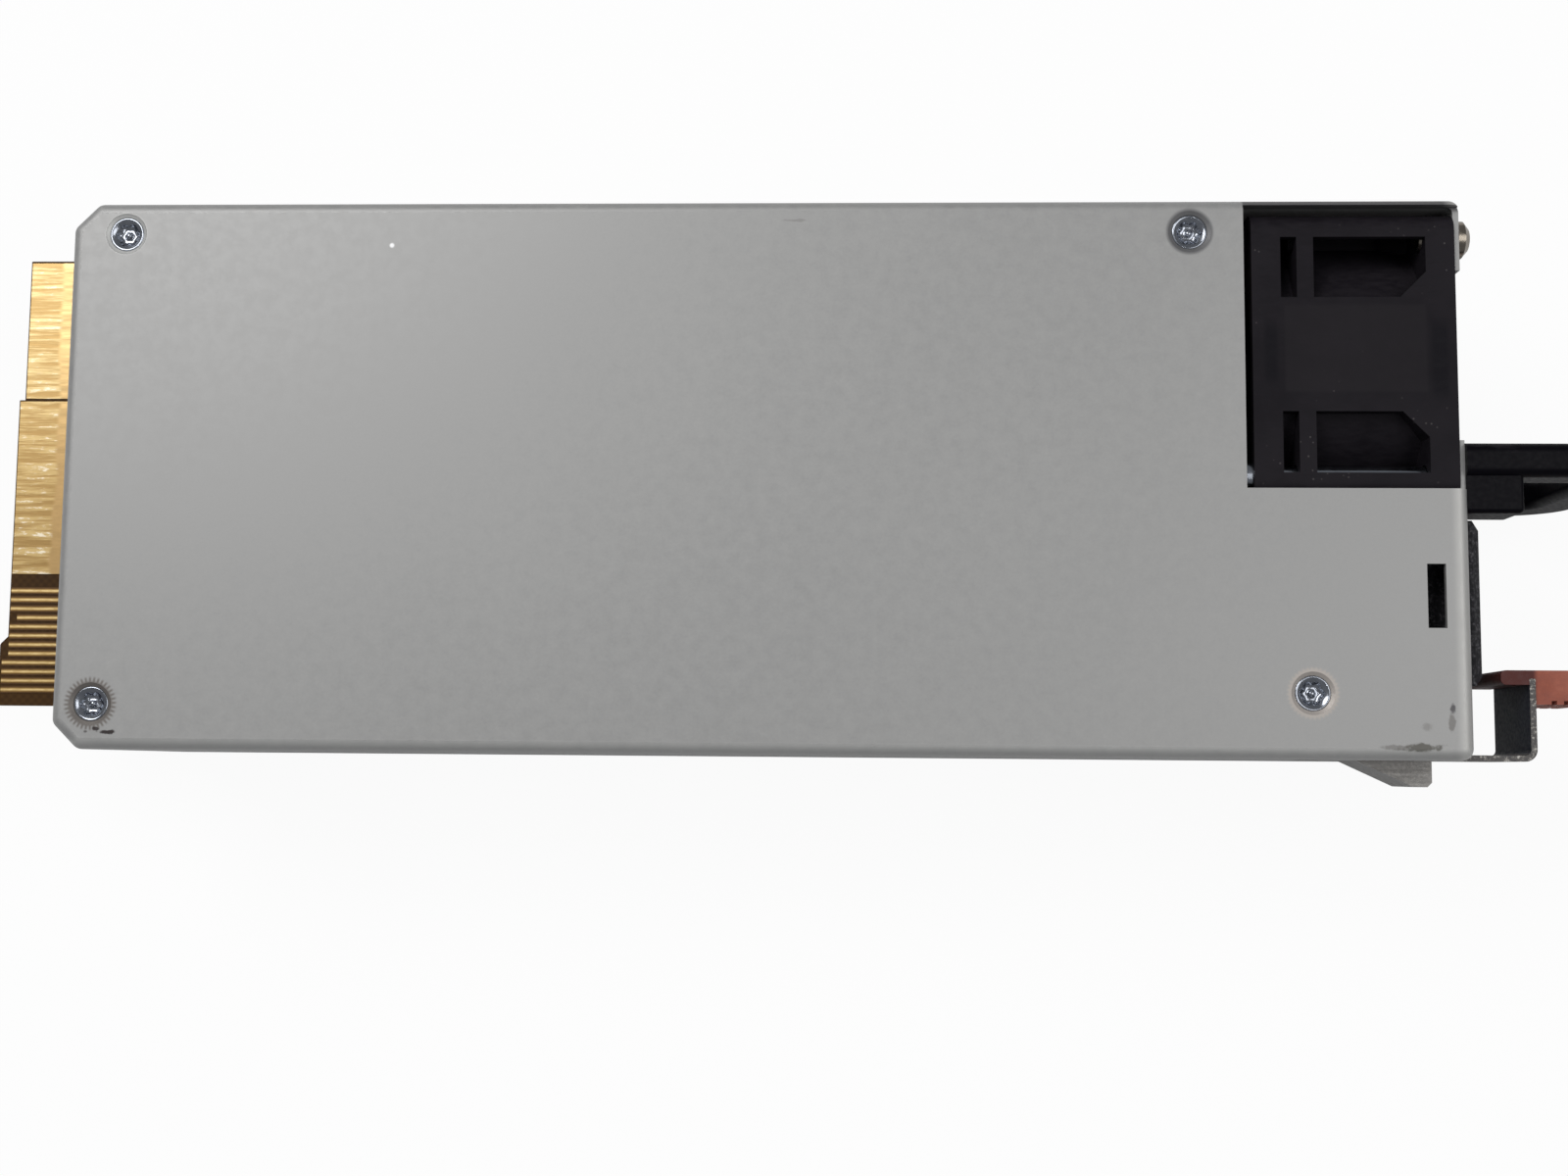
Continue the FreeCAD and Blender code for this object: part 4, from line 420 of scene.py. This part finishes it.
def metal(name, color, rough, scale=700.0):
    """Bare metal with a fine grain in its tone and gloss."""
    paint = Paint(name)
    grain = paint.noise(scale, 4.0, 0.6)
    dark = tuple(channel * 0.82 for channel in color)
    paint.set(
        Base_Color=paint.mix(paint.between(grain, 0.3, 0.7), dark, color),
        Metallic=1.0,
        Roughness=paint.between(grain, 0.3, 0.7, rough * 0.8, rough * 1.25),
        Normal=paint.bump(grain, 0.01, 0.3),
    )
    return paint.material


def spring_steel():
    """Rolled strip, sheared and worn bright along its narrow edges, with painted shade and a dark painted
    reflection on the inner face of the tab's hook.
    """
    paint = Paint("spring_steel")
    toward_x, _, toward_z = paint.split(paint.node("ShaderNodeTexCoord", {}, {}, "Normal"))
    roll = paint.noise(900.0, 4.0, 0.65, paint.stretched(0.08, 1.0, 1.0))
    chips = paint.noise(1900.0, 3.0, 0.7)
    color = paint.ramp(
        roll * 0.6 + chips * 0.4,
        (0.34, (0.12, 0.115, 0.11)),
        (0.50, (0.19, 0.182, 0.172)),
        (0.66, (0.28, 0.27, 0.26)),
    )
    sheared = paint.ramp(
        chips,
        (0.40, (0.03, 0.029, 0.031)),
        (0.54, (0.07, 0.065, 0.062)),
        (0.68, (0.50, 0.48, 0.44)),
    )
    narrow = paint.between(toward_z.size(), 0.6, 0.9) * paint.between(paint.x, REAR, REAR + 1.0)
    color = paint.mix(narrow * 0.85, color, sheared)
    # painted shade and dark reflection on the hook's inner face, which faces back towards the case
    hook_shade = paint.between(toward_x, -0.9, -0.5, 1.0, 0.0) * paint.between(paint.x, REAR + 1.5, REAR + 2.5)
    color = paint.mix(hook_shade * 0.97, color, (0.004, 0.006, 0.017))
    paint.set(
        Base_Color=color,
        Metallic=0.75 - hook_shade * 0.75,
        Specular_IOR_Level=0.2,
        Roughness=paint.between(chips, 0.3, 0.7, 0.32, 0.52),
        Normal=paint.bump(roll, 0.03, 0.4),
    )
    return paint.material


def plastic(name, color, rough):
    """A moulded or coated surface with a fine grain and a slow cloudiness."""
    paint = Paint(name)
    grain = paint.noise(1400.0, 3.0, 0.6)
    cloud = paint.noise(60.0, 3.0, 0.5)
    light = tuple(min(1.0, channel * 1.3 + 0.001) for channel in color)
    paint.set(
        Base_Color=paint.mix(paint.between(cloud * 0.6 + grain * 0.4, 0.35, 0.7), color, light),
        Metallic=0.0,
        Roughness=paint.between(cloud + grain * 0.5, 0.5, 1.0, rough * 0.85, rough * 1.15),
        Normal=paint.bump(grain, 0.02, 0.4),
        Specular_IOR_Level=0.3,
    )
    return paint.material


def fan_plastic():
    """Glass-filled black moulding: a paler middle panel, painted shade in the sunk crescents beside it, and
    settled dust.
    """
    paint = Paint("fan_plastic")
    fibre = paint.noise(1500.0, 3.0, 0.65, paint.stretched(0.35, 1.0, 1.0))
    cloud = paint.noise(90.0, 4.0, 0.6)
    along = paint.x - FAN_LOW.x
    across = paint.y - (FAN_LOW.y + FAN_HIGH.y) / 2
    upper = paint.between(paint.z, FAN_HIGH.z - 0.6, FAN_HIGH.z - 0.2)
    panel = paint.bar(along, 4.2, 22.6, 0.3) * paint.bar(across, -5.0, 6.6, 0.3)
    near = paint.bar(along, 1.6, 3.2, 0.4) * paint.bar(across, -3.6, 4.2, 1.2)
    far = paint.bar(along, 23.2, 25.4, 0.5) * paint.bar(across, -5.6, 4.2, 1.2)
    cloudy = paint.between(fibre * 0.5 + cloud * 0.5, 0.36, 0.64)
    color = paint.mix(cloudy, (0.0085, 0.0070, 0.0095), (0.0150, 0.0128, 0.0160))
    color = paint.mix(panel * upper * 0.30, color, (0.024, 0.021, 0.0235))
    # painted shade in the sunk crescents on each side of the panel
    color = paint.mix((near + far) * upper * 0.62, color, (0.004, 0.0036, 0.006))
    dust = paint.between(paint.cells(900.0), 0.05, 0.16, 1.0, 0.0) * paint.between(cloud, 0.5, 0.62)
    color = paint.mix(dust * upper * 0.55, color, (0.11, 0.10, 0.10))
    paint.set(
        Base_Color=color,
        Metallic=0.0,
        Roughness=paint.between(fibre, 0.3, 0.7, 0.5, 0.68),
        Normal=paint.bump(fibre, 0.02, 0.35),
        Specular_IOR_Level=0.11,
    )
    return paint.material


def handle_plastic():
    """Black moulding with a fine sheen, and a painted highlight in patches along its top edge."""
    paint = Paint("handle_plastic")
    grain = paint.noise(1500.0, 3.0, 0.6)
    # painted highlight in patches along the top edge, where the top face is lit
    highlight_patches = paint.noise(260.0, 4.0, 0.7, paint.stretched(0.25, 1.0, 1.0))
    top_highlight = paint.between(highlight_patches, 0.58, 0.72) * paint.between(paint.z, HANDLE_TOP - 2.4, HANDLE_TOP - 0.2)
    paint.set(
        Base_Color=paint.mix(top_highlight * 0.6, (0.0022, 0.0018, 0.0034), (0.030, 0.026, 0.032)),
        Metallic=0.0,
        Roughness=paint.between(grain, 0.3, 0.7, 0.34, 0.48),
        Normal=paint.bump(grain, 0.012, 0.3),
        Specular_IOR_Level=0.07,
    )
    return paint.material


def inlet_plastic():
    """Spark-eroded black moulding: a coarse, glinting grain, and a painted blue highlight line that shows in
    the case's slot.
    """
    paint = Paint("inlet_plastic")
    pits = paint.cells(1500.0)
    grain = paint.noise(1700.0, 3.0, 0.7)
    color = paint.ramp(
        grain,
        (0.40, (0.006, 0.006, 0.008)),
        (0.54, (0.018, 0.017, 0.021)),
        (0.70, (0.11, 0.105, 0.115)),
    )
    across = paint.y - (INLET_LOW.y + INLET_HIGH.y) / 2
    inside = paint.between(paint.x, REAR - 1.3, REAR - 0.9, 1.0, 0.0)
    top = paint.between(paint.z, INLET_HIGH.z - 1.5, INLET_HIGH.z - 1.0)
    # painted blue highlight line inside the slot
    blue_highlight = paint.bar(across, 1.85, 2.35, 0.1) * inside * top
    paint.set(
        Base_Color=paint.mix(blue_highlight * 0.9, color, (0.35, 0.42, 1.0)),
        Metallic=0.0,
        Roughness=paint.between(pits, 0.0, 0.6, 0.4, 0.7),
        Normal=paint.bump(grain, 0.06, 0.7),
        Specular_IOR_Level=0.3,
    )
    return paint.material


def release_pad():
    """Soft terracotta moulding, with painted shade on its inner lip."""
    paint = Paint("release_pad")
    grain = paint.noise(1300.0, 4.0, 0.65)
    cloud = paint.noise(150.0, 3.0, 0.55)
    color = paint.ramp(
        cloud * 0.6 + grain * 0.4,
        (0.36, (0.27, 0.068, 0.040)),
        (0.50, (0.345, 0.100, 0.062)),
        (0.66, (0.43, 0.145, 0.095)),
    )
    # painted shade on the pad's inner lip
    lip_shade = paint.between(paint.x, PAD_START + 4.1, PAD_START + 4.9, 1.0, 0.0)
    paint.set(
        Base_Color=paint.mix(lip_shade * 0.9, color, (0.055, 0.008, 0.008)),
        Metallic=0.0,
        Roughness=paint.between(grain, 0.3, 0.7, 0.44, 0.6),
        Normal=paint.bump(grain, 0.04, 0.5),
        Specular_IOR_Level=0.3,
    )
    return paint.material


def gold_plate():
    """Hard gold: plain beside the case and wiped in fine lines along X where the contacts run."""
    paint = Paint("gold_plate")
    streak = paint.noise(1500.0, 4.0, 0.7, paint.stretched(0.05, 1.0, 1.0))
    fleck = paint.noise(1400.0, 3.0, 0.7, paint.stretched(0.5, 1.6, 1.0))
    waver = paint.noise(180.0, 2.0, 0.5, paint.stretched(0.2, 1.0, 1.0))
    wiped = paint.between(paint.x + waver * 2.2, FRONT - 7.5, FRONT - 6.7, 1.0, 0.0)
    # painted light: the gold is painted lighter towards the fan's side
    light = paint.between(paint.y, 0.0, 26.0)
    plain = paint.mix(light, (0.40, 0.255, 0.10), (0.66, 0.45, 0.19))
    color = paint.mix(paint.between(fleck, 0.35, 0.65) * 0.25, plain, (0.50, 0.32, 0.12))
    pale = paint.mix(light, (0.60, 0.43, 0.18), (0.86, 0.67, 0.33))
    scored = paint.mix(paint.between(streak, 0.42, 0.60), (0.30, 0.18, 0.05), pale)
    bright = paint.between(streak * 0.55 + fleck * 0.45, 0.55, 0.63)
    scored = paint.mix(bright * 0.8, scored, (1.0, 0.95, 0.80))
    color = paint.mix(wiped * 0.8, color, scored)
    # each finger is painted with a highlight along its middle, darker towards its edges
    finger_highlight = ((paint.y - (FINGERS_END - 0.485)) * (math.tau / FINGER_PITCH) + math.pi / 2).wave()
    finger = paint.ramp(
        finger_highlight + (fleck - 0.5) * 0.5,
        (0.00, (0.09, 0.042, 0.010)),
        (0.35, (0.25, 0.14, 0.036)),
        (0.85, (0.50, 0.32, 0.11)),
        (1.00, (0.80, 0.60, 0.28)),
    )
    on_fingers = paint.between(paint.y, FINGERS_END + 0.615, FINGERS_END + 1.015, 1.0, 0.0)
    paint.set(
        Base_Color=paint.mix(on_fingers, color, finger),
        Metallic=0.55,
        Roughness=paint.between(streak, 0.3, 0.7, 0.30, 0.46),
        Normal=paint.bump(streak * wiped + fleck * 0.3, 0.03, 0.5),
    )
    return paint.material


def edge_board():
    """Bare laminate with the glass cloth's weave showing faintly."""
    paint = Paint("edge_board")
    weave = (paint.x * WEAVE_TURN).wave() * (paint.y * WEAVE_TURN).wave() * 0.5 + 0.5
    cloud = paint.noise(260.0, 3.0, 0.6)
    paint.set(
        Base_Color=paint.mix(weave * 0.35 + cloud * 0.5, (0.036, 0.015, 0.004), (0.100, 0.050, 0.014)),
        Metallic=0.0,
        Roughness=paint.between(cloud, 0.3, 0.7, 0.4, 0.55),
        Normal=paint.bump(weave, 0.01, 0.4),
        Specular_IOR_Level=0.1,
    )
    return paint.material


# ---------------------------------------------------------------- which piece wears which finish


screw_steel = metal("screw_steel", (0.34, 0.36, 0.40), 0.2, 900.0)
screw_bronze = metal("screw_bronze", (0.30, 0.265, 0.22), 0.26, 900.0)
dress(plated_sheet(), "chassis", "cover")
dress(screw_steel, "board_screws", "cover_screws", "handle_screws", "latch_rivets")
dress(screw_bronze, "fan_screws")
dress(spring_steel(), "latch_spring")
dress(metal("turned_steel", (0.60, 0.60, 0.61), 0.2), "fan_shaft", "fan_bearings")
dress(metal("pin_brass", (0.72, 0.66, 0.52), 0.28), "inlet_pins", "board_standoffs")
dress(metal("bus_copper", (0.78, 0.42, 0.26), 0.35), "bus_bars")
dress(metal("heat_sink_metal", (0.66, 0.66, 0.67), 0.38), "primary_heat_sink", "secondary_heat_sink")
dress(gold_plate(), "power_pads", "signal_fingers")
dress(fan_plastic(), "fan_frame")
dress(plastic("rotor_plastic", (0.014, 0.014, 0.016), 0.4), "fan_rotor")
dress(handle_plastic(), "handle")
dress(inlet_plastic(), "inlet_body")
dress(plastic("light_lens", (0.40, 0.60, 0.35), 0.2), "status_light")
dress(release_pad(), "latch_pad")
dress(plastic("circuit_board", (0.02, 0.075, 0.03), 0.35), "main_board", "control_board")
dress(plastic("insulator_film", (0.62, 0.60, 0.55), 0.3), "insulator_sheet")
dress(edge_board(), "output_board")
dress(plastic("header_plastic", (0.02, 0.02, 0.02), 0.45), "signal_header")
dress(plastic("can_sleeve", (0.015, 0.018, 0.05), 0.25), "bulk_capacitor", "output_capacitors")
dress(plastic("disc_resin", (0.04, 0.15, 0.45), 0.3), "y_capacitors")
dress(plastic("film_box", (0.62, 0.38, 0.04), 0.35), "x_capacitor")
core_ferrite = plastic("core_ferrite", (0.035, 0.035, 0.04), 0.55)
dress(core_ferrite, "transformer_core", "emi_choke_ring", "resonant_choke")
dress(plastic("winding_tape", (0.66, 0.47, 0.06), 0.3), "transformer_windings", "standby_transformer")
coil_copper = plastic("coil_copper", (0.55, 0.2, 0.06), 0.25)
dress(coil_copper, "pfc_choke_winding", "emi_choke_winding", "fan_stator")
dress(plastic("ring_powder", (0.05, 0.16, 0.1), 0.5), "pfc_choke_ring")
black_epoxy = plastic("black_epoxy", (0.02, 0.02, 0.021), 0.5)
dress(black_epoxy, "primary_transistors", "rectifier_transistors", "bridge_rectifier", "fan_magnet")
dress(plastic("relay_case", (0.03, 0.11, 0.36), 0.3), "inrush_relay")
dress(plastic("thermistor_resin", (0.02, 0.09, 0.03), 0.35), "thermistor")
dress(plastic("fuse_glass", (0.7, 0.73, 0.71), 0.1), "fuse")
dress(plastic("wire_jacket", (0.35, 0.2, 0.02), 0.35), "inlet_wires", "fan_lead")
dress(plastic("plug_nylon", (0.6, 0.57, 0.48), 0.4), "fan_plug")
make_board_screws(screw_steel)


# ---------------------------------------------------------------- stage


def add_lamp(name, place, target, size, power):
    """A soft rectangular lamp, turned towards a point; places and sizes in metres, power in watts."""
    data = bpy.data.lights.new(name, "AREA")
    data.shape = "RECTANGLE"
    data.size, data.size_y = size
    data.energy = power
    lamp = bpy.data.objects.new(name, data)
    bpy.context.scene.collection.objects.link(lamp)
    lamp.location = place
    lamp.rotation_euler = (Vector(target) - Vector(place)).to_track_quat("-Z", "Y").to_euler()


def make_floor():
    """A paper floor that shows nearly white and keeps a faint shadow of the object."""
    mesh = bmesh.new()
    bmesh.ops.create_grid(mesh, x_segments=1, y_segments=1, size=4.0)
    data = bpy.data.meshes.new("floor")
    mesh.to_mesh(data)
    mesh.free()
    floor = bpy.data.objects.new("floor", data)
    bpy.context.scene.collection.objects.link(floor)
    floor.location.z = -0.2 * MM
    paint = Paint("floor_paper")
    paper = paint.mix(paint.noise(40.0, 2.0, 0.5), (0.88, 0.88, 0.88), (0.90, 0.90, 0.90))
    paint.set(Base_Color=paper, Roughness=0.9, Metallic=0.0)
    glow = paint.node("ShaderNodeEmission", {}, {"Color": (1.0, 1.0, 1.0), "Strength": 1.0})
    share = paint.node("ShaderNodeLightPath", {}, {}, "Is Camera Ray") * FLOOR_GLOW
    lit = Value(paint, paint.shader.outputs["BSDF"])
    blend = paint.node("ShaderNodeMixShader", {}, {0: share, 1: lit, 2: glow})
    paint.feed(paint.output.inputs["Surface"], blend)
    data.materials.append(paint.material)


def make_world():
    """A weak, slightly cool light from all round."""
    world = bpy.data.worlds.new("studio")
    bpy.context.scene.world = world
    world.use_nodes = True
    tree = world.node_tree
    tree.nodes.clear()
    output = tree.nodes.new("ShaderNodeOutputWorld")
    back = tree.nodes.new("ShaderNodeBackground")
    back.inputs["Color"].default_value = (0.80, 0.82, 0.85, 1.0)
    back.inputs["Strength"].default_value = 0.3
    tree.links.new(back.outputs["Background"], output.inputs["Surface"])


def make_camera():
    data = bpy.data.cameras.new("camera")
    data.sensor_width = SENSOR
    data.lens = LENS
    data.clip_start = 0.01
    data.clip_end = 20.0
    camera = bpy.data.objects.new("camera", data)
    bpy.context.scene.collection.objects.link(camera)
    camera.location = Vector(CAMERA_PLACE) * MM
    camera.rotation_euler = Euler([math.radians(angle) for angle in CAMERA_TURN], "XYZ")
    bpy.context.scene.camera = camera


make_floor()
make_world()
make_camera()
add_lamp("key", (-0.42, 0.42, 0.80), (0.0, 0.0, 0.02), (0.5, 0.4), 4.6)
add_lamp("fill", (0.50, 0.05, 0.80), (0.0, 0.0, 0.02), (0.5, 0.5), 2.2)
add_lamp("spark", (0.05, -0.10, 0.70), (0.0, 0.0, 0.04), (0.03, 0.03), 0.10)

bpy.context.scene.view_settings.view_transform = "Standard"
